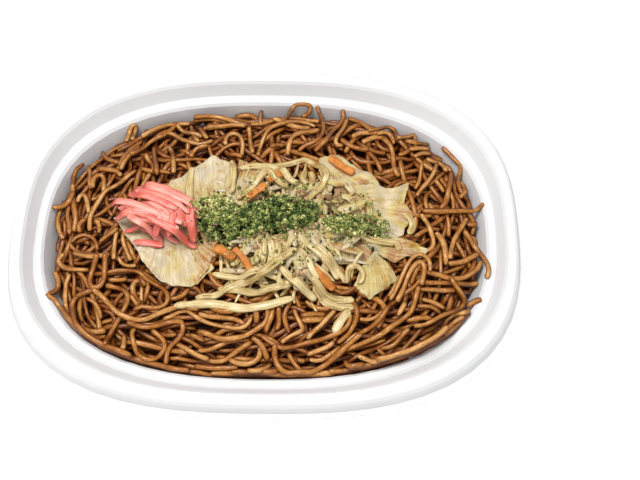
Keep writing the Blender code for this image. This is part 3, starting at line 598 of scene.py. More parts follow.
class MeshBuilder:
    """Gathers tubes and other closed shapes into one mesh, with a tint for each of them."""

    def __init__(self):
        self.points = []
        self.quads = []
        self.triangles = []
        self.tints = []
        self.places = []
        self.total = 0

    def add(self, points, quads, triangles, tint, places=None):
        """Adds a shape. places are what its streaks are worked out from: the third runs along them."""
        self.points.append(np.asarray(points))
        self.places.append(np.asarray(points if places is None else places))
        if len(quads):
            self.quads.append(np.asarray(quads) + self.total)
        if len(triangles):
            self.triangles.append(np.asarray(triangles) + self.total)
        self.tints.append(np.broadcast_to(tint, (len(points),)))
        self.total += len(points)

    @staticmethod
    def axes(path):
        """For each point of a path: the way along it, level to its side, and over it."""
        along = np.gradient(path, axis=0)
        along /= np.linalg.norm(along, axis=1)[:, None] + 1e-12
        side = np.cross(along, (0, 0, 1.0))
        side[np.linalg.norm(side, axis=1) < 1e-3] = (1.0, 0, 0)
        for i in range(1, len(path)):
            if np.dot(side[i], side[i - 1]) < 0:
                side[i] = -side[i]
        side /= np.linalg.norm(side, axis=1)[:, None]
        return along, side, np.cross(side, along)

    def tube(self, path, radius, sides, tint, flat=1.0, square=0.0, turn=0.0, start=0.0, blunt=0.8):
        """A closed tube along a path. radius and tint are a number or one for each point. flat squeezes
        its section, square makes the section boxy, and turn twists it along its length from start."""
        path = np.asarray(path)
        n = len(path)
        radius = np.broadcast_to(radius, (n,)).copy()
        radius[[0, -1]] *= blunt
        along, side, over = self.axes(path)
        angle = 2 * math.pi * np.arange(sides) / sides
        reach = 1 + square * (1 / np.maximum(abs(np.cos(angle)), abs(np.sin(angle))) - 1)
        spin = start + turn * np.linspace(0, 1, n)[:, None]
        u = reach * np.cos(angle + spin)
        v = reach * np.sin(angle + spin) * flat
        section = u[..., None] * side[:, None] + v[..., None] * over[:, None]
        rings = path[:, None] + radius[:, None, None] * section
        i = np.arange(n - 1)[:, None] * sides
        j = np.arange(sides)
        k = (j + 1) % sides
        quads = np.stack([i + j, i + k, i + k + sides, i + j + sides], axis=-1).reshape(-1, 4)
        start_tip = path[0] - along[0] * radius[0] * CAP
        end_tip = path[-1] + along[-1] * radius[-1] * CAP
        first, last = n * sides, n * sides + 1
        fans = [(first, b, a) for a, b in zip(j, k)]
        fans += [(last, a, b) for a, b in zip(j + (n - 1) * sides, k + (n - 1) * sides)]
        tint = np.broadcast_to(tint, (n,))
        tint = np.concatenate([np.repeat(tint, sides), tint[[0, -1]]])
        length = np.concatenate([[0], np.cumsum(np.linalg.norm(np.diff(path, axis=0), axis=1))])
        lengths = np.repeat(length[:, None] + self.total * STEP, sides, axis=1)
        places = np.stack([u * radius[:, None], v * radius[:, None], lengths], axis=-1).reshape(-1, 3)
        places = np.vstack([places, places[[0, -1]]])
        self.add(np.vstack([rings.reshape(-1, 3), start_tip, end_tip]), quads, fans, tint, places)

    def build(self, name, look, slot, replaces=()):
        """The mesh as one object that rides on the part's body."""
        data = bpy.data.meshes.new(name)
        points = np.vstack(self.points)
        quads = np.vstack(self.quads) if self.quads else np.zeros((0, 4), int)
        triangles = np.vstack(self.triangles) if self.triangles else np.zeros((0, 3), int)
        corners = np.concatenate([quads.ravel(), triangles.ravel()]).astype(np.int32)
        sizes = np.concatenate([np.full(len(quads), 4), np.full(len(triangles), 3)])
        starts = np.concatenate([[0], np.cumsum(sizes)[:-1]]).astype(np.int32)
        data.vertices.add(len(points))
        data.vertices.foreach_set("co", points.astype(np.float32).ravel())
        data.loops.add(len(corners))
        data.loops.foreach_set("vertex_index", corners)
        data.polygons.add(len(sizes))
        data.polygons.foreach_set("loop_start", starts)
        data.update(calc_edges=True)
        data.validate()
        tint = data.attributes.new("tint", "FLOAT", "POINT")
        tint.data.foreach_set("value", np.concatenate(self.tints).astype(np.float32))
        place = data.attributes.new("place", "FLOAT_VECTOR", "POINT")
        place.data.foreach_set("vector", np.vstack(self.places).astype(np.float32).ravel())
        data.shade_smooth()
        data.materials.append(look)
        made = bpy.data.objects.new(name, data)
        bpy.context.scene.collection.objects.link(made)
        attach(made, "root")
        if replaces:
            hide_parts(*replaces)
        return made


# ---------------------------------------------------------------- materials


class Look:
    """A Principled material whose nodes are added by short calls."""

    def __init__(self, name, **values):
        self.material = bpy.data.materials.new(name)
        self.material.use_nodes = True
        self.tree = self.material.node_tree
        self.shader = self.tree.nodes["Principled BSDF"]
        for socket, value in values.items():
            self.set(socket.replace("_", " "), value)
        self.place = self.node("ShaderNodeTexCoord").outputs["Object"]

    def set(self, socket, value):
        """Sets or links a socket of the shader."""
        self.give(self.shader.inputs[socket], value)

    def give(self, target, value):
        """Links a socket to another one, or sets it to a number or a colour."""
        if isinstance(value, bpy.types.NodeSocket):
            self.tree.links.new(value, target)
        elif isinstance(value, tuple) and len(value) == 3 and target.type == "RGBA":
            target.default_value = (*value, 1)
        else:
            target.default_value = value

    def node(self, kind, **values):
        """A new node. Its inputs are given by name or, for a link, as a socket."""
        made = self.tree.nodes.new(kind)
        for key, value in values.items():
            if hasattr(made, key) and key not in made.inputs:
                setattr(made, key, value)
            else:
                self.give(made.inputs[key.replace("_", " ")], value)
        return made

    def noise(self, size, detail=3.0, roughness=0.55, place=None):
        """A noise value whose blotches are about this big, in metres."""
        place = place or self.place
        made = self.node("ShaderNodeTexNoise", Vector=place, Scale=1 / size)
        self.give(made.inputs["Detail"], detail)
        self.give(made.inputs["Roughness"], roughness)
        return made.outputs["Fac"]

    def grain(self, across, along):
        """Streaks that run along each shape, this wide and this long in metres."""
        place = self.node("ShaderNodeAttribute", attribute_name="place").outputs["Vector"]
        made = self.node("ShaderNodeMapping", Vector=place, Scale=(1 / across, 1 / across, 1 / along))
        return self.noise(1.0, place=made.outputs["Vector"])

    def edge(self, low, high, most):
        """A share that grows from a shape's middle to its edges, where it is seen edge on, for painted
        shade there.
        """
        # painted shade: grows towards the edges of a shape, where it is seen edge on
        facing = self.node("ShaderNodeLayerWeight", Blend=0.5).outputs["Facing"]
        return self.between(facing, low, high, 0.0, most)

    def tint(self):
        """The number that a builder gave to each of its shapes."""
        return self.node("ShaderNodeAttribute", attribute_name="tint").outputs["Fac"]

    def ramp(self, factor, *stops):
        """Colours at places along a value."""
        made = self.node("ShaderNodeValToRGB")
        self.tree.links.new(factor, made.inputs["Fac"])
        steps = made.color_ramp.elements
        while len(steps) < len(stops):
            steps.new(0.5)
        for step, (place, colour) in zip(steps, stops):
            step.position = place
            step.color = (*colour, 1)
        return made.outputs["Color"]

    def math(self, operation, a, b=0.0):
        """A number made from two others."""
        made = self.node("ShaderNodeMath", operation=operation)
        for socket, value in zip(made.inputs, (a, b)):
            self.give(socket, value)
        return made.outputs["Value"]

    def sum(self, *terms):
        """The sum of values, each given with its weight."""
        parts = [self.math("MULTIPLY", value, weight) for value, weight in terms]
        total = parts[0]
        for part in parts[1:]:
            total = self.math("ADD", total, part)
        return total

    def between(self, value, low, high, to_low=0.0, to_high=1.0):
        """A value spread from one range to another, and held inside it."""
        made = self.node("ShaderNodeMapRange")
        for socket, item in zip(made.inputs, (value, low, high, to_low, to_high)):
            self.give(socket, item)
        return made.outputs["Result"]

    def mix(self, factor, a, b):
        """A mix of two colours: all a where the factor is 0, all b where it is 1."""
        made = self.node("ShaderNodeMix", data_type="RGBA")
        for socket, value in zip((made.inputs[0], made.inputs[6], made.inputs[7]), (factor, a, b)):
            self.give(socket, value)
        return made.outputs[2]

    def glow(self, weight, *reach):
        """How much light passes under the skin, and how far its three colours go, in millimetres."""
        self.set("Subsurface Weight", weight)
        self.set("Subsurface Radius", tuple(r * MM for r in reach))

    def bump(self, height, depth, strength=1.0):
        """Relief in the shading, this deep in metres."""
        made = self.node("ShaderNodeBump", Height=height, Distance=depth, Strength=strength)
        self.set("Normal", made.outputs["Normal"])


def tray_look():
    """White satin plastic, with painted shade where it is seen edge on."""
    look = Look("tray_plastic", IOR=1.49, Specular_IOR_Level=0.4)
    look.glow(0.2, 4.0, 4.0, 4.0)
    colour = look.ramp(look.noise(30 * MM), (0.3, (0.72, 0.72, 0.725)), (0.7, (0.75, 0.75, 0.75)))
    # painted shade: grey mixed in where the tray is seen edge on
    look.set("Base Color", look.mix(look.edge(0.72, 0.97, 0.8), colour, (0.40, 0.40, 0.42)))
    look.set("Roughness", look.between(look.noise(8 * MM), 0.3, 0.7, 0.38, 0.48))
    look.bump(look.noise(1.2 * MM, detail=2), 0.03 * MM, 0.6)
    return look.material


def noodle_look():
    """Sauced noodles: brown with specks and a glaze, with painted shade at their edges and under other
    noodles.
    """
    look = Look("noodle", IOR=1.45, Specular_IOR_Level=0.4, Coat_Weight=0.45, Coat_Roughness=0.13)
    look.set("Specular Tint", (1.0, 0.80, 0.52))
    look.set("Coat Tint", (1.0, 0.82, 0.56))
    patches = look.noise(5 * MM, detail=4, roughness=0.65)
    streaks = look.grain(0.6 * MM, 4 * MM)
    # the tint holds each noodle's own tone and its painted shade under other noodles
    colour = look.ramp(
        look.sum((look.tint(), 0.40), (patches, 0.62), (streaks, 0.5)),
        (0.12, (0.050, 0.011, 0.003)),
        (0.40, (0.170, 0.048, 0.009)),
        (0.60, (0.320, 0.112, 0.020)),
        (0.78, (0.480, 0.205, 0.042)),
        (0.98, (0.680, 0.380, 0.140)),
    )
    specks = look.between(look.noise(0.8 * MM, detail=3), 0.54, 0.70, 0.0, 0.7)
    colour = look.mix(specks, colour, (0.12, 0.028, 0.005))
    # painted shade: dark brown mixed in at the noodles' edges, where they are seen edge on
    look.set("Base Color", look.mix(look.edge(0.08, 0.62, 0.9), colour, (0.090, 0.018, 0.004)))
    look.set("Roughness", look.between(look.noise(1.2 * MM), 0.3, 0.7, 0.22, 0.5))
    look.bump(look.sum((look.noise(1.3 * MM, detail=4, roughness=0.65), 1), (streaks, 1)), 0.5 * MM, 0.8)
    return look.material


def sprout_look():
    """Bean sprouts: pale and glassy, with lines along them."""
    look = Look("sprout", Roughness=0.34, IOR=1.4, Coat_Weight=0.4, Coat_Roughness=0.18)
    look.glow(0.25, 4.0, 3.0, 1.5)
    streaks = look.grain(0.5 * MM, 12 * MM)
    lines = look.between(streaks, 0.38, 0.60)
    colour = look.ramp(
        look.sum((look.tint(), 0.2), (look.noise(5 * MM), 0.35), (lines, 0.42)),
        (0.18, (0.32, 0.18, 0.04)),
        (0.38, (0.52, 0.37, 0.13)),
        (0.58, (0.68, 0.53, 0.25)),
        (0.85, (0.80, 0.67, 0.39)),
    )
    # painted shade: dark brown mixed in at the sprouts' edges, where they are seen edge on
    look.set("Base Color", look.mix(look.edge(0.3, 0.9, 0.65), colour, (0.34, 0.18, 0.04)))
    look.bump(look.sum((look.noise(1.5 * MM), 1), (streaks, 2)), 0.3 * MM, 0.7)
    return look.material


def leaf_look():
    """Cabbage: the tint says how yellow it is, and its veins fan out as streaks."""
    look = Look("leaf", Roughness=0.38, IOR=1.4, Coat_Weight=0.2, Coat_Roughness=0.18)
    look.glow(0.25, 4.0, 4.0, 2.0)
    streaks = look.grain(0.8 * MM, 14 * MM)
    patches = look.between(look.noise(8 * MM), 0.3, 0.7, -0.35, 0.35)
    colour = look.ramp(
        look.sum((look.tint(), 0.8), (patches, 1)),
        (0.0, (0.52, 0.44, 0.32)),
        (0.3, (0.56, 0.43, 0.22)),
        (0.6, (0.56, 0.44, 0.12)),
        (0.85, (0.50, 0.31, 0.05)),
        (1.0, (0.40, 0.17, 0.025)),
    )
    lines = look.between(streaks, 0.38, 0.60)
    colour = look.mix(look.math("MULTIPLY", lines, 0.5), colour, (0.76, 0.65, 0.43))
    stains = look.between(look.noise(4 * MM, detail=4), 0.58, 0.70, 0.0, 0.6)
    look.set("Base Color", look.mix(stains, colour, (0.42, 0.20, 0.04)))
    look.bump(look.sum((look.noise(1.2 * MM, detail=4), 1), (streaks, 2.5)), 0.5 * MM, 0.8)
    return look.material


def carrot_look():
    """Carrot: orange, with a fine grain along each strip."""
    look = Look("carrot", Roughness=0.5, IOR=1.4, Coat_Weight=0.1, Coat_Roughness=0.2)
    look.glow(0.1, 3.0, 1.0, 0.5)
    patches = look.noise(3 * MM)
    look.set("Base Color", look.ramp(patches, (0.3, (0.46, 0.13, 0.015)), (0.7, (0.70, 0.26, 0.04))))
    look.bump(look.sum((look.noise(0.8 * MM), 1), (look.grain(0.6 * MM, 6 * MM), 1)), 0.3 * MM, 0.8)
    return look.material


def ginger_look():
    """Red pickled ginger: pink, paler in streaks, with painted shade at its edges."""
    look = Look("ginger", Roughness=0.4, IOR=1.4, Coat_Weight=0.2, Coat_Roughness=0.2)
    look.glow(0.25, 4.0, 1.5, 1.2)
    colour = look.ramp(
        look.sum((look.tint(), 0.6), (look.noise(5 * MM), 0.5)),
        (0.2, (0.62, 0.08, 0.05)),
        (0.5, (0.78, 0.17, 0.12)),
        (0.85, (0.86, 0.31, 0.24)),
    )
    streaks = look.grain(0.7 * MM, 9 * MM)
    colour = look.mix(look.between(streaks, 0.45, 0.70, 0.0, 0.6), colour, (0.90, 0.52, 0.42))
    # painted shade: deep red mixed in at the strips' edges, where they are seen edge on
    look.set("Base Color", look.mix(look.edge(0.15, 0.75, 0.9), colour, (0.40, 0.035, 0.025)))
    look.bump(look.sum((look.noise(0.9 * MM), 1), (streaks, 1)), 0.15 * MM, 0.6)
    return look.material


def mince_look():
    """Cooked mince: the tint sets how brown each bit is."""
    look = Look("mince", Roughness=0.5, IOR=1.4)
    colour = look.ramp(
        look.sum((look.tint(), 0.6), (look.noise(1.5 * MM), 0.5)),
        (0.2, (0.26, 0.12, 0.045)),
        (0.5, (0.44, 0.25, 0.12)),
        (0.85, (0.66, 0.46, 0.25)),
    )
    look.set("Base Color", colour)
    look.bump(look.noise(0.6 * MM, detail=4), 0.25 * MM, 0.8)
    return look.material


def seaweed_look():
    """Dried seaweed: the tint runs from dark green to yellow."""
    look = Look("seaweed", Roughness=0.6, IOR=1.4)
    colour = look.ramp(
        look.tint(),
        (0.0, (0.020, 0.052, 0.012)),
        (0.3, (0.130, 0.205, 0.040)),
        (0.6, (0.42, 0.44, 0.10)),
        (1.0, (0.90, 0.82, 0.38)),
    )
    look.set("Base Color", colour)
    look.bump(look.noise(0.5 * MM, detail=2), 0.1 * MM, 0.6)
    return look.material


def core_look():
    """Painted shade for the gaps between the noodles: a dark brown."""
    look = Look("noodle_core", Roughness=0.5)
    patches = look.noise(4 * MM, detail=4)
    # painted shade: the core's dark colour stands for the shade deep in the gaps
    colour = look.ramp(patches, (0.35, (0.035, 0.009, 0.002)), (0.7, (0.110, 0.034, 0.008)))
    look.set("Base Color", colour)
    look.bump(look.noise(3 * MM, detail=4), 1.2 * MM, 0.8)
    return look.material


# ---------------------------------------------------------------- noodles


def heap_share(xy):
    """How far out over the heap points lie: 0 in the middle, 1 at the wall."""
    x, y = abs(xy[..., 0] / HALF_LENGTH), abs(xy[..., 1] / HALF_WIDTH)
    return (x**EDGE_EXPONENT + y**EDGE_EXPONENT) ** (1 / EDGE_EXPONENT)


def outward(xy):
    """The direction away from the heap's middle, square to its oval contours."""
    x, y = xy[..., 0] / HALF_LENGTH, xy[..., 1] / HALF_WIDTH
    x = np.sign(x) * abs(x) ** (EDGE_EXPONENT - 1) / HALF_LENGTH
    y = np.sign(y) * abs(y) ** (EDGE_EXPONENT - 1) / HALF_WIDTH
    size = np.hypot(x, y) + 1e-9
    return np.stack([x / size, y / size], axis=-1)


def grow(rng, start, heading, steps, curl, order):
    """Smooth wandering paths on the heap, many at once. curl is how much they bend by chance, and
    order is how strongly they turn along the heap's edge."""
    place = start.copy()
    bend = rng.normal(0, curl, len(start))
    found = [place.copy()]
    for _ in range(steps):
        way = outward(place)
        share = heap_share(place)
        along = np.arctan2(way[:, 0], -way[:, 1])
        turn = order(place) * np.sin(2 * (along - heading))
        inward = np.sin(np.arctan2(-way[:, 1], -way[:, 0]) - heading)
        near = np.clip((share - TURN_FROM) / TURN_OVER, 0, 1)
        bend += (-SPRING * bend + rng.normal(0, curl * WANDER, len(start))) * STEP / MM
        heading = heading + (bend + COMB * turn + TURN_BACK * near * inward) * STEP / MM
        place = place + STEP * np.stack([np.cos(heading), np.sin(heading)], axis=1)
        beyond = np.maximum(heap_share(place) - EDGE_SHARE, 0)[:, None]
        place = place - way * beyond * HALF_WIDTH
        found.append(place.copy())
    return np.stack(found, axis=1)


def order_at(xy):
    """How well combed the noodles are: well along the front, less at the ends and hardly behind."""
    return np.clip(0.9 - xy[:, 1] / (45 * MM), 0.1, 2.2)


def noodle_core(relief):
    """The middle of the heap, which only shows in the gaps; its dark colour is painted shade."""
    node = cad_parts["noodles"]
    data = node.data.copy()
    low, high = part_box("noodles")
    for v in data.vertices:
        lift = (v.co.z - low.z) / (high.z - low.z)
        v.co.z = max(v.co.z - CORE_DEPTH * lift, low.z)
        v.co.x *= CORE_SHARE[0]
        v.co.y *= CORE_SHARE[1]
    data.materials.clear()
    data.materials.append(core_look())
    made = bpy.data.objects.new("noodle_core", data)
    bpy.context.scene.collection.objects.link(made)
    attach(made, "root")
    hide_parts("noodles")
    return made


def overfill(relief, heap, path):
    """How far a strand laid here would stand above the heap's outline, with high spots counted more."""
    spots = path[::3]
    at = relief.cells(spots)
    over = relief.rest(spots, STRAND) + STRAND - heap[at[:, 0], at[:, 1]]
    return np.mean(over) + 0.6 * np.mean(np.maximum(over, 0))


def tries(rng, lack, start, combed):
    """A round of strands that may be laid, each through a spot where the heap still lacks height."""
    start = start[rng.choice(len(start), BATCH, p=lack / lack.sum())]
    way = outward(start)
    along = np.arctan2(way[:, 0], -way[:, 1]) + rng.choice((0, math.pi), BATCH)
    spread = np.where(heap_share(start) > 0.9, 0.25, 1.6) * (1 - 0.6 * combed)
    heading = along + rng.normal(0, 1, BATCH) * spread
    curl = rng.choice(CURLS, p=CURL_ODDS) * (1 - 0.5 * combed)
    reach = int(rng.uniform(REACH[0], REACH[1] * (1 - 0.5 * combed)))
    ahead = grow(rng, start, heading, reach, curl, order_at)
    behind = grow(rng, start, heading + math.pi, reach, curl, order_at)
    return np.concatenate([behind[:, :0:-1], ahead], axis=1)


def lay_noodles(relief, heap):
    """Strands laid one by one where the heap is lowest, until it reaches its outline."""
    rng = np.random.default_rng(7)
    grid = np.stack(np.meshgrid(*(np.arange(0, n, 3) for n in relief.count), indexing="ij"), axis=-1)
    share = heap_share(relief.low + grid * CELL)
    laid = []
    for rounds, innermost, combed, overfilled in PASSES:
        spots = grid[(share < EDGE_SHARE) & (share >= innermost)]
        for _ in range(rounds):
            lack = (heap - relief.z)[spots[:, 0], spots[:, 1]] + overfilled
            paths = tries(rng, np.maximum(lack, 1e-6) ** 2, relief.low + spots * CELL, combed)
            scores = [overfill(relief, heap, path) for path in paths]
            for pick in np.argsort(scores)[:KEPT]:
                path = np.stack([soften(paths[pick, :, k], 3) for k in (0, 1)], axis=1)
                if overfill(relief, heap, path) > overfilled:
                    continue
                z = drape(soften(relief.rest(path, STRAND), 4) - SINK, 6)
                relief.stamp(path, z, STRAND)
                laid.append(np.column_stack([path, z]))
    return laid


def lay_seen(relief, points):
    """A noodle that rests on the heap where the view has it. In front the wall keeps it in."""
    seen = spline(np.array(points, float) * MM)
    z = np.full(len(seen), SEEN_LEVEL)
    for _ in range(6):
        xy = seen_at(seen, z)
        limit = np.where(xy[:, 1] < -0.5 * HALF_WIDTH, FRONT_SHARE, RIM_SHARE)
        xy = xy - outward(xy) * np.maximum(heap_share(xy) - limit, 0)[:, None] * HALF_WIDTH
        xy = np.stack([soften(xy[:, k], 4) for k in (0, 1)], axis=1)
        z = 0.5 * (z + drape(soften(relief.rest(xy, STRAND), 4) - SINK, 6))
    relief.stamp(xy, z, STRAND)
    return np.column_stack([xy, z])


def build_noodles(relief, laid, name, sides, every, paleness):
    """Noodles as one mesh, with painted shade: the deeper a place lies under others, the darker it is."""
    rng = np.random.default_rng(11)
    builder = MeshBuilder()
    for path in laid:
        path = path[::every]
        under = np.clip((relief.height(path[:, :2]) - path[:, 2] - STRAND) / SHADE_DEPTH, 0, 1)
        # painted shade: the deeper a place lies under other noodles, the darker its tint
        shade = rng.uniform(*paleness) - 1.1 * soften(under, 1)
        radius = STRAND * rng.uniform(*FATNESS) * (1 + soften(rng.normal(0, 0.14, len(path)), 2))
        builder.tube(
            path,
            radius,
            sides,
            shade,
            flat=rng.uniform(0.8, 1.0),
            square=0.55,
            turn=rng.normal(0, 2.0),
            start=rng.uniform(0, math.pi),
        )
    builder.build(name, NOODLE, "noodles")


# ---------------------------------------------------------------- toppings


def lay(relief, points, radius, lift=0.0, sweeps=10, ceiling=TOPPING_CEILING):
    """A curve through some places (in millimetres, seen from above), laid on the relief."""
    xy = spline(np.array(points, float) * MM)
    z = drape(soften(relief.rest(xy, radius), 4) - 0.4 * MM, sweeps) + lift
    z -= 0.8 * np.maximum(z - ceiling, 0)
    relief.stamp(xy, z, radius)
    return np.column_stack([xy, z])


def over_patch(rng, count, centre, size, power=1.0):
    """Random places in an oval, in metres. A power over 1 gathers them towards its middle."""
    angle = rng.uniform(0, 2 * math.pi, count)
    reach = rng.uniform(0, 1, count) ** (0.5 * power)
    x = centre[0] + size[0] / 2 * reach * np.cos(angle)
    y = centre[1] + size[1] / 2 * reach * np.sin(angle)
    return np.stack([x, y], axis=1)


def short_strands(rng, relief, starts, length, heading, spread, bend, radius, sweeps, ceiling):
    """Short gently bent strands, laid one by one. Those that would stand above a ceiling sink in."""
    for start in starts:
        count = int(rng.uniform(*length) / STEP)
        turn = rng.normal(heading, spread) + np.linspace(-0.5, 0.5, count) * rng.normal(0, bend)
        path = np.cumsum(np.stack([np.cos(turn), np.sin(turn)], axis=1) * STEP, axis=0)
        path += start - path[count // 2]
        thick = rng.uniform(*radius)
        z = drape(soften(relief.rest(path, thick), 3) - 0.3 * MM, sweeps)
        z -= 0.85 * np.maximum(z - ceiling, 0)
        relief.stamp(path, z, thick)
        yield np.column_stack([path, z]), thick


def sprout(builder, rng, path, radius):
    """One bean sprout: thick in the middle, thinner at the ends."""
    t = np.linspace(0, 1, len(path))
    shape = 0.55 + 0.45 * np.sin(math.pi * t) ** 0.5 + soften(rng.normal(0, 0.14, len(path)), 2)
    tint, flat = rng.uniform(0, 1), rng.uniform(0.35, 0.6)
    turn = rng.normal(0, 0.6)
    builder.tube(path, radius * shape, 14, tint, flat=flat, square=0.5, turn=turn, blunt=0.6)


def build_sprouts(relief):
    """The bed of loose sprouts. Its builder and its random numbers go on to add_hero_sprouts."""
    rng = np.random.default_rng(5)
    builder = MeshBuilder()
    low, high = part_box("bean_sprouts")
    centre, size = ((low + high) / 2).xy, (high - low).xy
    bed = over_patch(rng, BED_SPROUTS, centre, size * BED_SHARE)
    for path, thick in short_strands(rng, relief, bed, ceiling=high.z - 3 * MM, **BED):
        sprout(builder, rng, path, thick)
    return builder, rng


def add_hero_sprouts(builder, rng, relief):
    """The sprouts that can be told apart, laid over the leaves."""
    for radius, points in SPROUTS:
        sprout(builder, rng, lay(relief, points, radius * MM * 0.6), radius * MM * 1.08)
    builder.build("bean_sprouts_loose", SPROUT, "bean_sprouts", ["bean_sprouts"])


def hills(places, size, seed):
    """Smooth random heights from -1 to 1 at places, with hills of about this size."""
    return np.array([noise.noise(Vector((*p, seed * 0.1)) / size) for p in places])


def leaf_edge(rng, outline):
    """Points round a leaf: its outline from corner to corner, rounded a little and ragged."""
    edge = evenly(np.array(outline + outline[:1], float) * MM, 0.4 * MM)
    length = np.linalg.norm(np.diff(edge, axis=0), axis=1).sum()
    edge = evenly(edge, length / LEAF_AROUND)[:LEAF_AROUND]
    again = slice(LEAF_AROUND, 2 * LEAF_AROUND)
    edge = np.stack([soften(np.tile(edge[:, k], 3), 2)[again] for k in (0, 1)], axis=1)
    ragged = soften(rng.normal(0, 1, LEAF_AROUND), 1)
    middle = edge.mean(axis=0)
    return middle, middle + (edge - middle) * (1 + 0.03 * ragged[:, None])


def leaf_rest(relief, flat):
    """The heights at which a leaf lies on the relief, smoothed because it is stiff."""
    z = (relief.rest(flat, LEAF_BALL) - LEAF_BALL).reshape(LEAF_RINGS, LEAF_AROUND)
    for _ in range(5):
        z = 0.5 * z + 0.25 * (np.roll(z, 1, axis=1) + np.roll(z, -1, axis=1))
        z[1:-1] = 0.5 * z[1:-1] + 0.25 * (z[:-2] + z[2:])
    return z


def leaf_faces():
    """The faces of a leaf's two sides and of the rim between them."""
    around, rings = LEAF_AROUND, LEAF_RINGS
    i = np.arange(rings - 1)[:, None] * around
    j = np.arange(around)
    k = (j + 1) % around
    quads = np.stack([i + j, i + around + j, i + around + k, i + k], axis=-1).reshape(-1, 4)
    last = (rings - 1) * around
    ends = np.stack([last + j, np.full(around, rings * around), last + k], axis=-1)
    under = rings * around + 1
    rim = np.stack([j, k, k + under, j + under], axis=-1)
    quads = np.vstack([quads[:, ::-1], quads + under, rim[:, ::-1]])
    return quads, np.vstack([ends[:, ::-1], ends + under])


def leaf_stain(flat, spots):
    """How stained a leaf is at places: most in the middle of each spot."""
    stain = np.zeros(len(flat))
    for x, y, wide in spots:
        away = np.hypot(flat[:, 0] / MM - x, flat[:, 1] / MM - y)
        stain = np.maximum(stain, np.clip(1.3 - away / wide, 0, 1))
    return stain


def build_leaf(relief, name, outline, stem, ripple, yellow, spots, seed):
    """A cabbage piece: a thin crumpled sheet with veins that fan out from its stem."""
    shape = (LEAF_RINGS, LEAF_AROUND)
    middle, edge = leaf_edge(np.random.default_rng(seed), outline)
    share = np.linspace(1, 0, LEAF_RINGS + 1)[:-1, None] ** 0.9
    xy = middle + (edge - middle)[None] * share[..., None]
    flat = xy.reshape(-1, 2)
    away = flat - np.array(stem) * MM
    angle = np.arctan2(away[:, 1], away[:, 0]).reshape(shape)
    reach = np.hypot(away[:, 0], away[:, 1]).reshape(shape)
    wave = hills(flat, 13 * MM, seed).reshape(shape)
    fine = hills(flat, 4.5 * MM, seed).reshape(shape)
    spokes = zip(angle.flat, reach.flat)
    fan = np.array([noise.noise(Vector((a * 9 + seed, r / (30 * MM), 0))) for a, r in spokes])
    crumple = 1.1 * wave + 0.7 * fan.reshape(shape) + 0.45 * fine + 0.5
    vein = np.clip(1 - np.abs(np.sin(angle * 6 + wave + seed)) * reach / VEIN_REACH, 0, 1)
    z = leaf_rest(relief, flat) + ripple * MM * crumple * (0.4 + 0.6 * share) + VEIN_RISE * vein
    thick = (0.5 + 0.4 * (1 - share**4) + 0.3 * vein) * MM
    relief.stamp(flat, (z + thick / 2 - LEAF_BODY).ravel(), LEAF_BODY)
    sides = []
    for way in (0.5, -0.5):
        skin = np.concatenate([xy, (z + way * thick)[..., None]], axis=-1).reshape(-1, 3)
        sides += [skin, np.append(middle, (z + way * thick)[-1].mean())]
    streaks = [angle * 22 * MM, np.full(shape, seed * 10 * MM), reach]
    streaks = np.stack(streaks, axis=-1).reshape(-1, 3)
    streaks = np.vstack([streaks, streaks[-1:]])
    tint = yellow * (1 - 0.6 * vein).ravel() + 1.05 * leaf_stain(flat, spots)
    tint = np.append(tint, tint[-1])
    builder = MeshBuilder()
    builder.add(np.vstack(sides), *leaf_faces(), np.tile(tint, 2), np.tile(streaks, (2, 1)))
    builder.build(name + "_leaf", LEAF, "cabbage", [name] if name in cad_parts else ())


def build_shreds(relief):
    """Shreds of cabbage among the sprouts: flat ribbons of all widths."""
    rng = np.random.default_rng(17)
    builder = MeshBuilder()
    low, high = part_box("bean_sprouts")
    for centre, size, count in SHREDS:
        starts = over_patch(rng, count, np.array(centre) * MM, np.array(size) * MM)
        for path, thick in short_strands(rng, relief, starts, ceiling=high.z - 2 * MM, **SHRED):
            taper = 1 - 0.5 * np.linspace(-1, 1, len(path)) ** 4
            taper += soften(rng.normal(0, 0.12, len(path)), 1)
            tint, turn, start = rng.uniform(0.1, 1.1), rng.normal(0, 0.6), rng.normal(0, 0.3)
            builder.tube(path, thick * taper, 10, tint, flat=0.28, square=0.5, turn=turn, start=start)
    builder.build("cabbage_shreds", LEAF, "cabbage")


def build_carrots(relief):
    """Carrot strips where the solid ones are, with rounded edges and uneven widths."""
    rng = np.random.default_rng(3)
    builder = MeshBuilder()
    names = sorted(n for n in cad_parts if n.startswith("carrot_"))
    for name in names:
        points, radius = CARROTS[name]
        path = lay(relief, points, radius * MM, lift=-0.3 * MM)
        thick = radius * MM * (0.9 + soften(rng.normal(0, 0.2, len(path)), 2))
        tint, turn = rng.uniform(0, 1), rng.normal(0, 0.4)
        builder.tube(path, thick, 16, tint, flat=0.4, square=0.9, turn=turn, blunt=0.9)
    builder.build("carrot_strips", CARROT, "carrot", names)


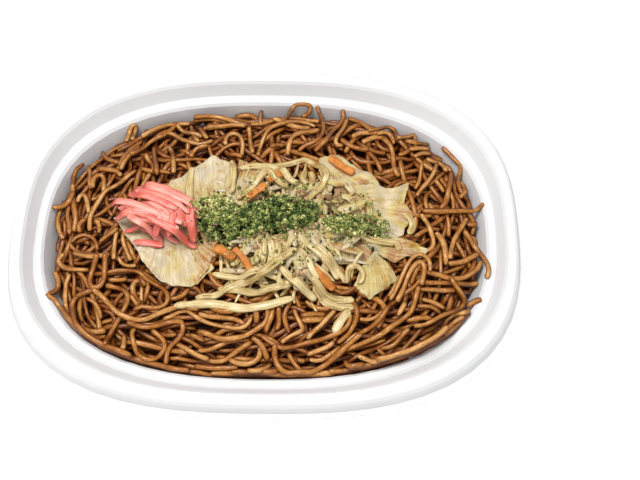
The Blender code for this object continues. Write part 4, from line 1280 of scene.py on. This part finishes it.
def build_ginger(relief):
    """The pile of ginger: strips at random, then those that can be told apart."""
    rng = np.random.default_rng(21)
    builder = MeshBuilder()
    low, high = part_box("ginger")
    centre, size = ((low + high) / 2).xy, (high - low).xy
    for part, count, length in GINGER_LAYERS:
        starts = over_patch(rng, count, centre, size * part)
        strips = short_strands(
            rng, relief, starts, ceiling=high.z - 1.5 * MM, length=length, **GINGER_BED
        )
        for path, thick in strips:
            thick = thick * (1 - 0.5 * np.linspace(-1, 1, len(path)) ** 4)
            tint, turn = rng.uniform(0, 1), rng.normal(0, 0.5)
            builder.tube(path, thick, 12, tint, flat=0.42, square=0.7, turn=turn, blunt=0.5)
    for wide, points in GINGER_STRIPS:
        path = lay(relief, points, wide * MM * 0.7, ceiling=high.z - 0.5 * MM)
        t = np.linspace(-1, 1, len(path))
        thick = wide * MM * (1.25 - 0.5 * t**4 + soften(rng.normal(0, 0.2, len(path)), 2))
        tint, turn, start = rng.uniform(0, 1), rng.normal(0, 0.4), rng.normal(0, 0.2)
        builder.tube(
            path, thick, 14, tint, flat=0.28, square=0.9, turn=turn, start=start, blunt=0.5
        )
    builder.build("ginger_sticks", GINGER, "ginger", ["ginger"])


def build_mince(relief):
    """Bits of mince and crumbs: lumpy balls."""
    rng = np.random.default_rng(31)
    builder = MeshBuilder()
    ball = bmesh.new()
    bmesh.ops.create_icosphere(ball, subdivisions=2, radius=1)
    points = np.array([v.co for v in ball.verts])
    faces = np.array([[v.index for v in f.verts] for f in ball.faces])
    ball.free()
    for centre, size, count, thick in MINCE:
        for place in over_patch(rng, count, np.array(centre) * MM, np.array(size) * MM):
            radius = rng.uniform(*thick) * MM
            shift = Vector(rng.uniform(-50, 50, 3))
            lumps = np.array([noise.fractal(Vector(p) * 1.1 + shift, 1.0, 2.0, 3) for p in points])
            shape = points * (1 + 0.45 * lumps)[:, None] * radius * rng.uniform(0.75, 1.2, 3)
            z = relief.rest(place[None], radius)[0] - 0.3 * radius
            relief.stamp(place[None], [z], radius * 0.8)
            builder.add(shape + (*place, z), [], faces, rng.uniform(0, 1))
    builder.build("mince_bits", MINCED, "mince")


def build_seaweed(relief):
    """Loose dried flakes: thin irregular plates strewn over the middle of the toppings."""
    rng = np.random.default_rng(41)
    builder = MeshBuilder()
    corners = FLAKE_CORNERS
    angle = 2 * math.pi * np.arange(corners) / corners
    j = np.arange(corners)
    k = (j + 1) % corners
    fans = [(corners, a, b) for a, b in zip(j, k)] + [(corners + 1, b, a) for a, b in zip(j, k)]
    tips = np.array([[0, 0, FLAKE_DOME], [0, 0, -FLAKE_DOME]])
    for centre, size, count, dry in SEAWEED:
        places = over_patch(rng, count, np.array(centre) * MM, np.array(size) * MM, 1.2)
        places += rng.normal(0, 0.9 * MM, places.shape)
        heights = relief.height(places)
        for place, ground in zip(places, heights):
            clump = noise.noise(Vector((*place, 0)) / CLUMP)
            radius = rng.uniform(*FLAKE_RADIUS) * MM
            rim = np.stack([np.cos(angle), np.sin(angle) * rng.uniform(0.35, 0.9), 0 * angle], axis=1)
            rim *= radius * rng.uniform(0.55, 1.3, (corners, 1))
            rim[:, 2] += rng.normal(0, 0.16, corners) * radius
            turn = Euler((rng.normal(0, 0.55), rng.normal(0, 0.55), rng.uniform(0, 6.3))).to_matrix()
            shape = np.vstack([rim, tips]) @ np.array(turn).T
            lift = (rng.uniform(0.1, 0.9) + max(0, 1.6 * clump + 0.3)) * MM
            shade = dry + 0.55 * clump + rng.normal(0, 0.25)
            builder.add(shape + (*place, ground + lift), [], fans, np.clip(shade, 0, 1))
    builder.build("seaweed_flakes", SEAWEED_LOOK, "seaweed")


# ---------------------------------------------------------------- stage


def link(name, data):
    """A new object in the scene."""
    made = bpy.data.objects.new(name, data)
    bpy.context.scene.collection.objects.link(made)
    return made


def add_floor():
    """A pale floor that glows a little, so that it stays white."""
    look = Look("floor_paper", Roughness=0.8, Emission_Strength=FLOOR_GLOW)
    look.set("Emission Color", (1.0, 1.0, 1.0))
    shade = look.ramp(look.noise(0.2), (0.3, (0.90, 0.90, 0.90)), (0.7, (0.92, 0.92, 0.92)))
    look.set("Base Color", shade)
    data = bpy.data.meshes.new("floor")
    corners = [(-1, -1, 0), (1, -1, 0), (1, 1, 0), (-1, 1, 0)]
    data.from_pydata([Vector(c) * FLOOR_REACH for c in corners], [], [(0, 1, 2, 3)])
    data.materials.append(look.material)
    link("floor", data)


def add_lights():
    """Soft light from above, and an even sky."""
    for name, place, size, power in LIGHTS:
        light = bpy.data.lights.new(name, "AREA")
        light.size = size
        light.energy = power
        made = link(name, light)
        made.location = place
        made.rotation_euler = (LIT_POINT - Vector(place)).to_track_quat("-Z", "Y").to_euler()
    world = bpy.data.worlds.new("studio")
    world.use_nodes = True
    background = world.node_tree.nodes["Background"]
    background.inputs["Color"].default_value = (1, 1, 1, 1)
    background.inputs["Strength"].default_value = SKY
    bpy.context.scene.world = world


def add_camera():
    """The view from the front."""
    camera = bpy.data.cameras.new("camera")
    camera.lens = LENS
    camera.sensor_width = SENSOR
    made = link("camera", camera)
    made.location = VIEW_CENTRE + towards_eye() * VIEW_DISTANCE
    made.rotation_euler = towards_eye().to_track_quat("Z", "Y").to_euler()
    bpy.context.scene.camera = made
    bpy.context.scene.view_settings.view_transform = "Standard"


# ---------------------------------------------------------------- the whole

HALF_LENGTH, HALF_WIDTH = (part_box("noodles")[1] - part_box("noodles")[0]).xy / 2
NOODLE = noodle_look()
SPROUT = sprout_look()
LEAF = leaf_look()
CARROT = carrot_look()
GINGER = ginger_look()
MINCED = mince_look()
SEAWEED_LOOK = seaweed_look()

add_floor()
add_lights()
add_camera()
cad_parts["tray"].data.materials.clear()
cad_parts["tray"].data.materials.append(tray_look())

low, high = CAD_BOX
relief = Relief((low[0] - MARGIN, low[1] - MARGIN), (high[0] + MARGIN, high[1] + MARGIN))
heap = tops(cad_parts["noodles"], relief)
core = noodle_core(relief)
relief.z = np.maximum(tops(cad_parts["tray"], relief), tops(core, relief))
laid = lay_noodles(relief, heap)
seen = [lay_seen(relief, points) for points in STRANDS]
# painted shade: the hidden noodles get darker tones than the seen ones
build_noodles(relief, laid, "noodles_lower", 6, 3, (0.0, 0.65))
sprouts, chance = build_sprouts(relief)
for number, (name, leaf) in enumerate(LEAVES.items()):
    build_leaf(relief, name, *leaf, number + 1)
seen += [lay_seen(relief, points) for points in ARCHES]
# the seen noodles get paler tones than the hidden ones, whose darker tones are painted shade
build_noodles(relief, seen, "noodles_upper", 10, 2, (0.3, 1.0))
build_shreds(relief)
build_carrots(relief)
add_hero_sprouts(sprouts, chance, relief)
build_ginger(relief)
build_mince(relief)
build_seaweed(relief)
